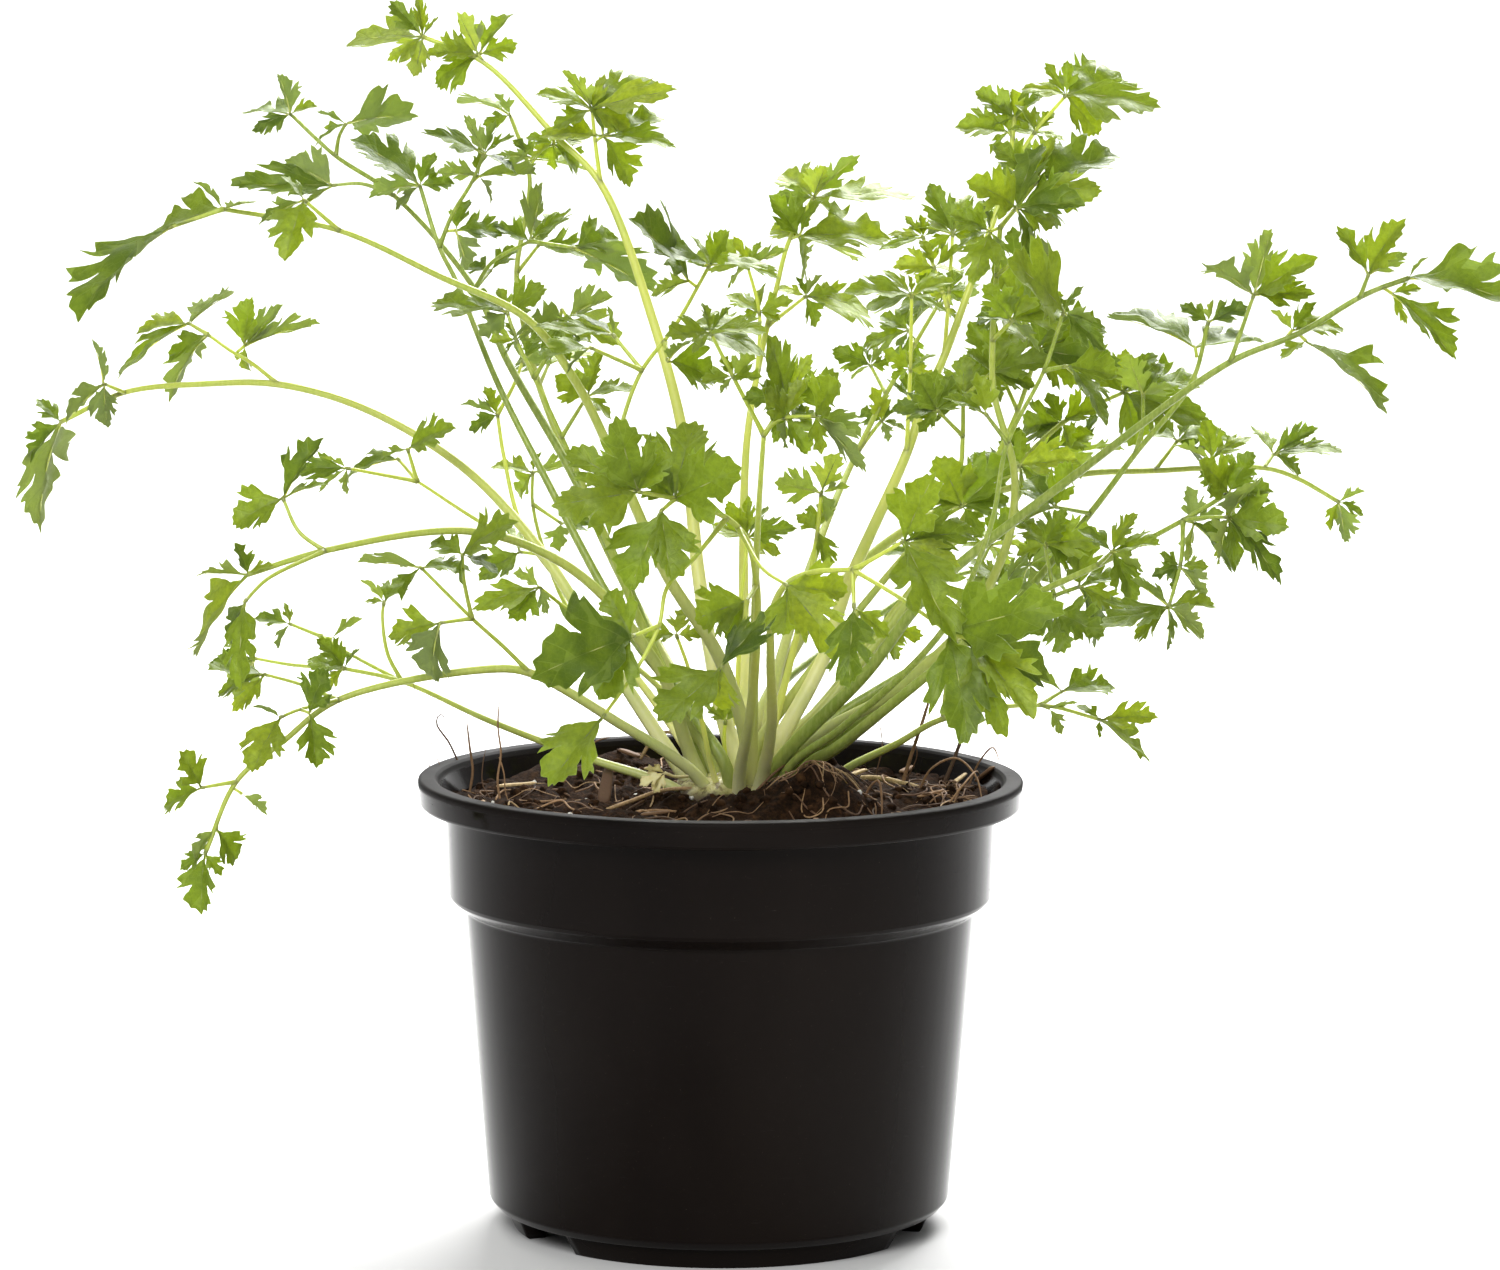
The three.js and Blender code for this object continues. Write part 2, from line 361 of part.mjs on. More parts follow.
      [[[112, 203, -22]], [[340, 16, 30], [300, 22, 20], [20, 14, 40]]],
      [[[104, 200, -18], [104, 195, -28]], [[342, 15, 10], [292, 15, 10], [230, 10, 20]]],
      [[[104, 200, -18], [101, 216, -26]], [[15, 17, 30], [70, 12, 30], [335, 13, 30], [130, 11, 40]]],
      [[[88, 192, -11], [88, 203, -18]], [[130, 13, 30], [60, 13, 40], [200, 12, 40]]],
    ]],
  ["frond_right_middle", "light", [4.6, 2],
    [[16, 149, 8.5], [30, 163, 17], [47, 185, 26], [66, 210, 32], [82, 229, 37], [96, 245, 42],
      [108.5, 256, 47], [125, 264, 53]], [
      [[[125, 264, 53]], [[15, 28, 40], [345, 26, 30], [85, 13, 20], [60, 16, 30]]],
      [[[108.5, 256, 47]], [[190, 15, 20], [235, 11, 20], [30, 14, 50]]],
      [[[96, 245, 42], [104, 247, 56]], [[320, 15, 20], [20, 13, 40]]],
      [[[82, 229, 37], [88, 239, 50]], [[75, 15, 20], [150, 12, 40], [20, 12, 50]]],
    ]],
  ["frond_inner_right", "light", [4.2, 2],
    [[10.5, 150, 4.5], [20, 165, 9], [56, 211, 12], [68, 224, 11], [74, 238, 9], [75, 250, 7],
      [75, 262, 4]], [
      [[[68, 224, 11], [75, 228, 3]], [[112, 17, 20], [48, 22, 20], [160, 13, 30], [15, 15, 30]]],
      [[[75, 262, 4]], [[35, 16, 30], [150, 15, 40], [90, 13, 20], [200, 15, 30]]],
      [[[75, 250, 7], [67, 258, -4]], [[120, 13, 20], [175, 14, 40], [70, 12, 30]]],
      [[[75, 262, 4], [84, 270, -4]], [[20, 17, 40], [345, 14, 30], [70, 12, 30]]],
    ]],
  ["frond_right_bright", "light", [4.6, 2],
    [[20.5, 150, 5], [36, 169, 10], [54, 192, 14], [70, 215, 15], [82, 236, 13], [92, 258, 9], [98, 277, 4]], [
      [[[98, 277, 4]], [[20, 26, 10], [355, 24, 20], [60, 18, 10], [330, 17, 20]]],
      [[[92, 258, 9], [86, 271, 16]], [[75, 18, 15], [120, 17, 15], [170, 13, 30]]],
      [[[98, 277, 4], [92, 290, 10]], [[65, 18, 10], [120, 16, 20], [20, 15, 20]]],
      [[[82, 236, 13], [93, 241, 4]], [[320, 15, 30], [10, 17, 40]]],
    ]],
];

// Small young shoots in the middle of the crown: name, stalk points, leaflets
const SHOOTS = [
  ["shoot_middle", [[3, 150, 12], [5, 170, 15], [6, 195, 17], [8, 218, 20]],
    [[120, 13, 30], [60, 12, 30], [20, 15, 30], [160, 12, 40], [90, 13, 10], [340, 12, 30]]],
  ["shoot_left", [[-3, 146, -13], [-6, 160, -16], [-10, 176, -22], [-14, 187, -26]], [[170, 9, 30], [75, 9, 30], [10, 8, 30]]],
  ["shoot_low", [[1.5, 149, -4], [1, 155, -5], [1.5, 160, -6]], [[100, 9, 20], [50, 8, 30], [140, 7, 30]]],
];
const SHOOT_WIDTHS = [2.4, 1.6];

// Dry stubs of old stalks on the crown: points and width
const DRY_STUBS = [
  ["dry_stub_left", [[15.5, 139, 20], [16.5, 157, 21.5], [17.2, 163.4, 23]], 2.6],
  ["dry_stub_right", [[21, 140, 16], [22, 161, 18.5], [21.5, 168.7, 20]], 3],
];
const STUB_FLARE = 1.25;

// Height at which the stalks end inside the crown and the soil
const ROOT_LEVEL = 127;

const TONES = { pale: 0xb9c765, light: 0x8fae3f, mid: 0x76a03a, dark: 0x55822c };
const SHOOT_COLOUR = 0x9cc03a;
const STUB_COLOUR = 0xa98a55;
const CROWN_COLOUR = 0xc9cf8a;
const SOIL_COLOUR = 0x3a281c;
const POT_COLOUR = 0x1d1b1a;

const material = (color, roughness) => new THREE.MeshStandardMaterial({ color, roughness, metalness: 0 });

// Turns a closed geometry into a solid
function solid(geometry) {
  const bare = geometry.index ? geometry.toNonIndexed() : geometry;
  bare.deleteAttribute("normal");
  bare.deleteAttribute("uv");
  const merged = mergeVertices(bare, 1e-4);
  return new wasm.Manifold(new wasm.Mesh({
    numProp: 3,
    vertProperties: new Float32Array(merged.attributes.position.array),
    triVerts: new Uint32Array(merged.index.array),
  }));
}

// Turns a solid back into a geometry
function geometryOf(body) {
  const mesh = body.getMesh();
  const geometry = new THREE.BufferGeometry();
  geometry.setAttribute("position", new THREE.BufferAttribute(new Float32Array(mesh.vertProperties), 3));
  geometry.setIndex(new THREE.BufferAttribute(new Uint32Array(mesh.triVerts), 1));
  geometry.computeVertexNormals();
  return geometry;
}

const joined = (bodies) => bodies.reduce((whole, body) => whole.add(body));

function largestPiece(body) {
  return body.decompose().reduce((best, piece) => (piece.volume() > best.volume() ? piece : best));
}

const radians = THREE.MathUtils.degToRad;

// The real place of a point that lines up with [x, z] in the middle plane, at depth y
function placed([x, z, y]) {
  const reach = (y - EYE.y) / -EYE.y;
  return new THREE.Vector3(EYE.x + (x - EYE.x) * reach, y, EYE.z + (z - EYE.z) * reach);
}

// The direction of a rod at each of its points, and a normal that turns with it
function railsOf(points) {
  const normal = new THREE.Vector3(0, 1, 0);
  return points.map((point, i) => {
    const before = points[Math.max(i - 1, 0)];
    const after = points[Math.min(i + 1, points.length - 1)];
    const tangent = new THREE.Vector3().subVectors(after, before).normalize();
    normal.addScaledVector(tangent, -normal.dot(tangent)).normalize();
    return { point, tangent, normal: normal.clone(), binormal: new THREE.Vector3().crossVectors(tangent, normal) };
  });
}

// A rod through points, with its width running from the foot to the tip
function rodBody({ points, widths, sides }, spare) {
  const steps = points.length - 1;
  const rails = railsOf(points);
  const section = new THREE.EllipseCurve(0, 0, 1, 1, 0, 2 * Math.PI);
  const shape = new THREE.Shape(section.getPoints(sides).slice(0, sides));
  const geometry = new THREE.ExtrudeGeometry(shape, { depth: 1, bevelEnabled: false, steps });
  const position = geometry.attributes.position;
  for (let i = 0; i < position.count; i += 1) {
    const step = Math.round(position.getZ(i) * steps);
    const { point, tangent, normal, binormal } = rails[step];
    const radius = THREE.MathUtils.lerp(widths[0], widths[1], step / steps) / 2 + spare;
    const place = point.clone().addScaledVector(normal, position.getX(i) * radius);
    place.addScaledVector(binormal, position.getY(i) * radius);
    if (step === 0) place.addScaledVector(tangent, -spare);
    if (step === steps) place.addScaledVector(tangent, spare);
    position.setXYZ(i, place.x, place.y, place.z);
  }
  return solid(geometry);
}

// A stalk starts inside the crown, straight below its first point
const rooted = (points) => [points[0].clone().setZ(ROOT_LEVEL), ...points];

// A rod that carries no further twig ends a little short, where the stem of a spray carries on
function shortened(points, starts) {
  const [before, end] = points.slice(-2);
  if (starts.some((start) => start.distanceTo(end) < 1)) return points;
  const gap = new THREE.Vector3().subVectors(before, end).setLength(STEM_LENGTH / 2);
  return [...points.slice(0, -1), end.clone().add(gap)];
}

// The stalk and the twigs of a frond
function rodsOf([, , widths, stalk, sprays]) {
  const paths = sprays.map(([twig]) => twig.map(placed)).filter((path) => path.length > 1);
  const starts = paths.map(([start]) => start);
  const twigs = paths.map((path) => ({ points: shortened(path, starts), widths: TWIG_WIDTHS, sides: TWIG_SIDES }));
  return [{ points: shortened(rooted(stalk.map(placed)), starts), widths, sides: STALK_SIDES }, ...twigs];
}

// Where a spray sits: its hub, and the way back from there to the rod that carries it
function seatOf(end, leaflets, rods) {
  const forth = new THREE.Vector3();
  for (const [direction, span] of leaflets) {
    forth.x += span * Math.cos(radians(direction));
    forth.z += span * Math.sin(radians(direction));
  }
  forth.normalize();
  const tip = rods.find((path) => path[path.length - 1].distanceTo(end) < 1);
  const back = tip && new THREE.Vector3().subVectors(tip[tip.length - 2], end).normalize();
  if (back && back.dot(forth) < BACKWARD) return { hub: end, back, reach: STEM_LENGTH };
  const hub = end.clone().addScaledVector(forth, SIDE_STEM_LENGTH);
  return { hub, back: forth.negate(), reach: SIDE_STEM_LENGTH };
}

// The sprays of a frond, each with its seat and its leaflets
function spraysOf([, , , stalk, sprays]) {
  const rods = [stalk, ...sprays.map(([twig]) => twig)].filter((path) => path.length > 1)
    .map((path) => path.map(placed));
  return sprays.filter(([, leaflets]) => leaflets.length > 0).map(([twig, leaflets]) => {
    const seat = seatOf(placed(twig[twig.length - 1]), leaflets, rods);
    const list = leaflets.map(([direction, span, turn]) => ({ direction: radians(direction), span, turn: radians(turn) }));
    return { ...seat, leaflets: list };
  });
}

// The axis and the face of a leaflet that leans forwards by an angle
function lieOf({ direction, turn }, lean) {
  const axis = new THREE.Vector3(
    Math.cos(lean) * Math.cos(direction), -Math.sin(lean), Math.cos(lean) * Math.sin(direction),
  );
  const front = new THREE.Vector3(0, -1, 0).addScaledVector(axis, axis.y).normalize();
  const upward = new THREE.Vector3().crossVectors(axis, front);
  if (upward.z < 0) upward.negate();
  const normal = front.multiplyScalar(Math.cos(turn)).addScaledVector(upward, Math.sin(turn));
  return { axis, normal };
}

// The points of a leaflet that keep their distance from everything else
function roomPoints(hub, { span }, { axis, normal }) {
  const length = span / Math.hypot(axis.x, axis.z);
  const sideways = new THREE.Vector3().crossVectors(normal, axis);
  return ROOM_POINTS.map(([u, v]) => (
    hub.clone().addScaledVector(axis, u * length).addScaledVector(sideways, (v * length * BLADE_WIDTH) / 2)));
}

// A leaflet takes the lean that leaves the most room to the rods and to the leaflets before it
function settle(hub, leaflet, rodPoints, bladePoints) {
  const apart = rodPoints.filter((point) => point.distanceTo(hub) > OWN_REACH * leaflet.span);
  const near = [...apart, ...bladePoints].filter((point) => point.distanceTo(hub) < FAR_REACH * leaflet.span);
  const mean = -LEAN_OF_DEPTH * hub.y;
  let best = null;
  for (const lean of LEANS) {
    const lie = lieOf(leaflet, radians(mean + lean));
    const corners = roomPoints(hub, leaflet, lie);
    const room = Math.min(leaflet.span, ...corners.flatMap((corner) => near.map((point) => point.distanceTo(corner))));
    const worth = room - LEAN_COST * Math.abs(lean);
    if (!best || worth > best.worth) best = { lie, corners, worth };
  }
  bladePoints.push(...best.corners);
  return { ...leaflet, ...best.lie };
}

// The spokes round a hub in order: its leaflets and its stem, each with the free angle before and after it
function spokesOf({ back, leaflets }) {
  const whole = 2 * Math.PI;
  const stem = { stem: true, direction: Math.atan2(back.z, back.x), slope: back.y / Math.hypot(back.x, back.z) };
  const shown = leaflets.filter(({ span, direction }) => (
    span >= LEAST_BLADE && Math.cos(direction - stem.direction) < Math.cos(STEM_ANGLE)));
  const turned = [stem, ...shown].map((spoke) => ({ ...spoke, direction: (spoke.direction + whole) % whole }));
  turned.sort((a, b) => a.direction - b.direction);
  return turned.map((spoke, i) => {
    const before = turned[(i + turned.length - 1) % turned.length].direction;
    const after = turned[(i + 1) % turned.length].direction;
    return {
      ...spoke,
      before: (spoke.direction - before + whole) % whole || whole,
      after: (after - spoke.direction + whole) % whole || whole,
    };
  });
}


// The outline of one leaflet, within its free angle, as points with their depth and thickness
function leafletOutline({ direction, span, turn, axis, normal, before, after }, spare) {
  const steep = 1 / Math.abs(normal.y);
  const length = span / Math.hypot(axis.x, axis.z);
  const half = (length * BLADE_WIDTH * Math.cos(turn)) / 2;
  const side = (sign, free) => {
    const points = span >= LARGE_BLADE ? LARGE_HALF : SMALL_HALF;
    const slope = Math.tan(Math.min(free * SECTOR_SHARE, WIDEST_SECTOR));
    const reach = Math.min(half + spare, ...points.map(([u, v]) => (u * span * slope) / v));
    return points.map(([u, v]) => [u * span, sign * v * reach]);
  };
  const path = [...side(-1, before), [span + spare, 0], ...side(1, after).reverse()];
  return path.map(([u, v]) => {
    const x = u * Math.cos(direction) - v * Math.sin(direction);
    const z = u * Math.sin(direction) + v * Math.cos(direction);
    const rise = (BLADE_FOLD * Math.abs(v)) / Math.cos(turn) - BLADE_ARCH * length * (u / span) ** 2;
    const plane = -(normal.x * x + normal.z * z) / normal.y;
    return { x, z, y: plane - rise * steep, thickness: (BLADE_THICKNESS + 2 * spare) * steep };
  });
}

// The outline of a spray: its leaflets and its stem round the hub, cut to the rib between them
function sprayOutline(spray, spare) {
  const flat = BLADE_THICKNESS + 2 * spare;
  return spokesOf(spray).flatMap((spoke) => {
    const middle = spoke.direction + spoke.after / 2;
    const ribReach = RIB_REACH + spare;
    const rib = { x: ribReach * Math.cos(middle), z: ribReach * Math.sin(middle), y: 0, thickness: flat };
    if (!spoke.stem) return [...leafletOutline(spoke, spare), rib];
    const [cos, sin] = [Math.cos(spoke.direction), Math.sin(spoke.direction)];
    const length = spray.reach * Math.hypot(spray.back.x, spray.back.z);
    const ends = [-1, 1].map((sign) => ({
      x: length * cos - sign * (STEM_WIDTH / 2 + spare) * sin,
      z: length * sin + sign * (STEM_WIDTH / 2 + spare) * cos,
      y: length * spoke.slope,
      thickness: flat,
    }));
    return [...ends, rib];
  });
}

// A spray as one thin blade: the same triangles on its front and its back, and walls round its outline
function sprayBody(spray, spare) {
  const outline = sprayOutline(spray, spare);
  const flat = outline.map(({ x, z }) => new THREE.Vector2(x, z));
  const faces = THREE.ShapeUtils.triangulateShape(flat, []);
  const corners = outline.flatMap(({ x, y, z, thickness }) => (
    [-1, 1].map((side) => new THREE.Vector3(x, y + (side * thickness) / 2, z).add(spray.hub))));
  const lids = faces.flatMap(([a, b, c]) => [2 * a, 2 * b, 2 * c, 2 * c + 1, 2 * b + 1, 2 * a + 1]);
  const walls = outline.flatMap((_, i) => {
    const j = (i + 1) % outline.length;
    return [2 * i, 2 * i + 1, 2 * j + 1, 2 * i, 2 * j + 1, 2 * j];
  });
  const geometry = new THREE.BufferGeometry().setFromPoints(corners);
  geometry.setIndex([...lids, ...walls]);
  return solid(geometry);
}

function overlapping(a, b) {
  const one = a.boundingBox();
  const two = b.boundingBox();
  return [0, 1, 2].every((k) => one.min[k] <= two.max[k] && two.min[k] <= one.max[k]);
}

// Fronds grow clear of each other: a blade ends short of another frond's rods and of an earlier blade
function grownFronds(entries) {
  const rods = entries.map(rodsOf);
  const rodPoints = rods.flat().flatMap(({ points }) => {
    const curve = new THREE.CatmullRomCurve3(points, false, "centripetal");
    return curve.getSpacedPoints(Math.ceil(curve.getLength() / ROOM_STEP));
  });
  const bladePoints = [];
  const sprays = entries.map((entry) => spraysOf(entry).map((spray) => (
    { ...spray, leaflets: spray.leaflets.map((leaflet) => settle(spray.hub, leaflet, rodPoints, bladePoints)) })));
  const shown = sprays.map((list) => list.filter(({ leaflets }) => leaflets.some(({ span }) => span >= LEAST_BLADE)));
  const fatRods = rods.map((list) => joined(list.map((one) => rodBody(one, CLEARANCE))));
  const fatBlades = shown.map((list) => list.map((one) => sprayBody(one, CLEARANCE)));
  return entries.map((entry, i) => {
    let body = joined(rods[i].map((one) => rodBody(one, 0)));
    for (const spray of shown[i]) {
      let blade = sprayBody(spray, 0);
      for (let j = 0; j < entries.length; j += 1) {
        if (j !== i && overlapping(blade, fatRods[j])) blade = blade.subtract(fatRods[j]);
        const earlier = j < i ? fatBlades[j].filter((other) => overlapping(blade, other)) : [];
        for (const other of earlier) blade = blade.subtract(other);
      }
      body = body.add(blade);
    }
    return { body: largestPiece(body), fatRods: fatRods[i] };
  });
}

// The pot: a turned shell on arc-shaped feet, with drain holes
function potBody() {
  const profile = [
    [0, FLOOR_BOTTOM], [BASE_RADIUS, FLOOR_BOTTOM], [BODY_BOTTOM_RADIUS, BODY_BOTTOM],
    [BODY_TOP_RADIUS, LEDGE_BOTTOM], [SHOULDER_RADIUS, LEDGE_TOP], [SHOULDER_TOP_RADIUS, BAND_BOTTOM],
    [RIM_RADIUS - BAND_TAPER, BAND_BOTTOM], [RIM_RADIUS, RIM_TOP - RIM_ROUND], [RIM_RADIUS - RIM_ROUND, RIM_TOP],
    [RIM_INNER_RADIUS, RIM_TOP], ...[...POT_INSIDE].reverse(), [0, FLOOR_TOP],
  ].map(([r, z]) => new THREE.Vector2(r, z));
  let body = solid(new THREE.LatheGeometry(profile, POT_SIDES).rotateX(Math.PI / 2));
  for (const arc of FOOT_ARCS) body = body.add(footBody(arc));
  return body.subtract(joined(drainHoles()));
}

// One foot: an arc-shaped ridge that tapers towards the ground
function footBody([start, end]) {
  const geometry = new THREE.BoxGeometry(1, 1, 1, 1, FOOT_STEPS, 1);
  const position = geometry.attributes.position;
  for (let i = 0; i < position.count; i += 1) {
    const high = position.getZ(i) + 0.5;
    const taper = (1 - high) * FOOT_END_TAPER;
    const angle = radians(THREE.MathUtils.lerp(start + taper, end - taper, position.getY(i) + 0.5));
    const outer = THREE.MathUtils.lerp(FOOT_BOTTOM_RADIUS, FOOT_TOP_RADIUS, high);
    const radius = outer - (0.5 - position.getX(i)) * FOOT_WIDTH;
    position.setXYZ(i, radius * Math.cos(angle), radius * Math.sin(angle), high * (FLOOR_BOTTOM + FOOT_SINK));
  }
  return solid(geometry);
}

function drainHoles() {
  const holes = [];
  for (let i = 0; i < DRAIN_COUNT; i += 1) {
    const angle = (i / DRAIN_COUNT) * 2 * Math.PI;
    const hole = new THREE.CylinderGeometry(DRAIN_RADIUS, DRAIN_RADIUS, 2 * FLOOR_TOP, DRAIN_SIDES);
    hole.rotateX(Math.PI / 2);
    hole.translate(DRAIN_RING_RADIUS * Math.cos(angle), DRAIN_RING_RADIUS * Math.sin(angle), FLOOR_TOP);
    holes.push(solid(hole));
  }
  return holes;
}

// Height of the soil's surface
function soilHeight(x, y) {
  const rough = Math.sin(x * 0.21 + y * 0.13) + Math.sin(y * 0.27 - x * 0.09) + Math.sin((x - y) * 0.37) * 0.6;
  const heaps = SOIL_HEAPS.map(([hx, hy, radius, height]) => (
    height * Math.exp(-((x - hx) ** 2 + (y - hy) ** 2) / (0.5 * radius * radius))));
  return SOIL_LEVEL + rough * SOIL_ROUGHNESS + heaps.reduce((sum, height) => sum + height, 0);
}

// The soil: turned to the pot's inside, with its top raised from the surface formula
function soilBody() {
  const flat = Math.cos(Math.PI / POT_SIDES);
  const inside = POT_INSIDE.map(([r, z]) => new THREE.Vector2(r * flat - SOIL_GAP, z + SOIL_GAP));
  const floor = new THREE.Vector2(0, inside[0].y);
  const topRadius = inside.pop().x;
  const top = [...SOIL_RINGS].reverse().map((share) => new THREE.Vector2(share * topRadius, SOIL_LEVEL));
  const profile = [floor, ...inside, ...top, new THREE.Vector2(0, SOIL_LEVEL)];
  const geometry = new THREE.LatheGeometry(profile, SOIL_SECTORS).rotateX(Math.PI / 2);
  const position = geometry.attributes.position;
  for (let i = 0; i < position.count; i += 1) {
    if (position.getZ(i) > SOIL_SHAPED_FROM) {
      position.setZ(i, soilHeight(position.getX(i), position.getY(i)));
    }
  }
  return solid(geometry);
}

// The crown: a knobbly dome on a short tapering root stock
function crownBody(spare = 0) {
  const geometry = new THREE.SphereGeometry(1, CROWN_SIDES, CROWN_RINGS).rotateX(Math.PI / 2);
  const position = geometry.attributes.position;
  for (let i = 0; i < position.count; i += 1) {
    const x = position.getX(i);
    const y = position.getY(i);
    const z = position.getZ(i);
    const swell = 1 + CROWN_KNOB_HEIGHT * Math.sin(CROWN_KNOBS * Math.atan2(y, x)) * (1 - z * z);
    const depth = z < 0 ? CROWN_ROOT_DEPTH : CROWN_HALF_SIZE[2];
    position.setXYZ(
      i,
      CROWN_MIDDLE[0] + x * (CROWN_HALF_SIZE[0] + spare) * swell,
      CROWN_MIDDLE[1] + y * (CROWN_HALF_SIZE[1] + spare) * swell,
      CROWN_MIDDLE[2] + z * (depth + spare),
    );
  }
  return solid(geometry);
}

function stubBody([, points, width], spare) {
  const widths = [width, width * STUB_FLARE];
  return rodBody({ points: rooted(points.map(placed)), widths, sides: STALK_SIDES }, spare);
}

const plant = new THREE.Group();

function addNode(name, body, colour, roughness) {
  const mesh = new THREE.Mesh(geometryOf(body), material(colour, roughness));
  mesh.name = name;
  plant.add(mesh);
}

const shoots = SHOOTS.map(([name, stalk, leaflets]) => (
  [name, "shoot", SHOOT_WIDTHS, stalk, [[[stalk[stalk.length - 1]], leaflets]]]));
const entries = [...FRONDS, ...shoots];
const fronds = grownFronds(entries);
const allRods = joined(fronds.map((frond) => frond.fatRods));

const stubs = DRY_STUBS.map((stub) => largestPiece(stubBody(stub, 0).subtract(allRods)));
const fatStubs = joined(DRY_STUBS.map((stub) => stubBody(stub, CLEARANCE)));
const crown = largestPiece(crownBody().subtract(allRods).subtract(fatStubs));
const soil = largestPiece(soilBody().subtract(crownBody(CLEARANCE)).subtract(allRods).subtract(fatStubs));

addNode("pot", potBody(), POT_COLOUR, 0.42);
addNode("soil", soil, SOIL_COLOUR, 0.95);
addNode("crown", crown, CROWN_COLOUR, 0.6);
DRY_STUBS.forEach(([name], i) => addNode(name, stubs[i], STUB_COLOUR, 0.8));
entries.forEach(([name, tone], i) => {
  addNode(name, fronds[i].body, TONES[tone] ?? SHOOT_COLOUR, 0.5);
});

export default plant;
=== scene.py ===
import json
from math import acos, atan2, ceil, cos, exp, hypot, pi, radians, sin, tan

import bmesh
import bpy
import numpy as np
from mathutils import Matrix, Vector, geometry, noise


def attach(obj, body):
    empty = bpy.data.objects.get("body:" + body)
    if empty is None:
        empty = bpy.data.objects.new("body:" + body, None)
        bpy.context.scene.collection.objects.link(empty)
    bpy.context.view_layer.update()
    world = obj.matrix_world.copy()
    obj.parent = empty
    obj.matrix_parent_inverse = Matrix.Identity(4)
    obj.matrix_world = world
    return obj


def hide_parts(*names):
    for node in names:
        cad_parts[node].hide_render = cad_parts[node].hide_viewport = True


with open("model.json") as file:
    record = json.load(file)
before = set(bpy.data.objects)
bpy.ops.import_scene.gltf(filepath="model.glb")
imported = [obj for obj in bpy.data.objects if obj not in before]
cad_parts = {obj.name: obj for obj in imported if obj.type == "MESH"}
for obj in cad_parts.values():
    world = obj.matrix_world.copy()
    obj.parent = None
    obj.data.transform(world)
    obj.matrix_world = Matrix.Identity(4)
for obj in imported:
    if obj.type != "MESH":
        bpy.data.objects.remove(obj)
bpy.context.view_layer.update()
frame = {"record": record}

MM = 0.001
WHOLE = 2 * pi
rng = np.random.default_rng(7)

# The eye that sees the plant, in mm. Stalk points are given as they line up with the pot's middle plane.
EYE = np.array([9.0, -1786.0, 410.0])

# Stalks and twigs in mm: the level they root at, the spacing of their rings, the short stems of sprays
ROOT_LEVEL = 127
ROOM_STEP = 5
STALK_STEP = 2.2
TWIG_STEP = 1.6
ARC_STEPS = 200
STALK_SIDES = 14
TWIG_SIDES = 9
STEM_SIDES = 8
RIB_SIDES = 5
STEM_LENGTH = 1.8
SIDE_STEM_LENGTH = 3.2
BACKWARD = 0.3

# How leaflets look for room: leans in degrees, what a lean costs, and the points of a blade that need room
LEANS = (0, 10, -10, 20, -20, 30, -30)
LEAN_OF_DEPTH = 0.1
LEAN_COST = 0.05
ROOM_POINTS = ((0.4, 0), (0.7, 0.8), (0.7, -0.8), (1, 0))
ROOM_WIDTH = 0.92
OWN_REACH = 0.45
FAR_REACH = 2

# Extra leaflets of the full fronds: how many a spray, the gaps they need, and pairs on long twigs
EXTRA_LEAFLETS = 3
GAP_AT_STEM = 1.75
GAP = 1.15
PAIR_FROM = 8
PAIR_ROOM = 9

# Blades: shares of their length, thickness in mm, and the lengths from which they count as large and middle
BLADE_WIDTH = 0.8
BLADE_FOLD = 0.22
BLADE_ARCH = 0.16
BLADE_THICKNESS = 0.32
LARGE = 21
MIDDLE = 12.5
# Large leaflets are seen at a slant, and long hanging ones nearly from their edge
SLANT = radians(46)
LONG = 28
EDGEWAYS = radians(68)
STEEPEST = radians(74)

# Leaflet styles: mean and spread of their lean in degrees, share that shows its underside, share of the width
STYLES = {
    "broad": (2, 8, 0.0, 1.16), "slender": (3, 8, 0.0, 0.82), "cut": (6, 16, 0.3, 1.2),
    "leaning": (20, 12, 0.36, 1.12), "slight": (18, 12, 0.25, 0.84)}

# How far a blade rises and falls, as shares of its length: its lobes, long and short waves, and its tip
LOBE_RISE = 0.05
WAVE_RISE = 0.034
RIPPLE_RISE = 0.016
TIP_FALL = 0.10
QUILT_RISE = 0.10
RIB_END = 0.82

# The crown, from which all stalks rise, and how their feet turn in to its middle and swell
CROWN_MIDDLE = np.array([6.0, 1.0, 133.0])
CROWN_HALF_SIZE = np.array([26.0, 25.0, 13.0])
FOOT_SHARE = 0.42
FOOT_LEVEL = 130.0
FOOT_SWELL = 0.4
FOOT_SWELL_REACH = 13.0

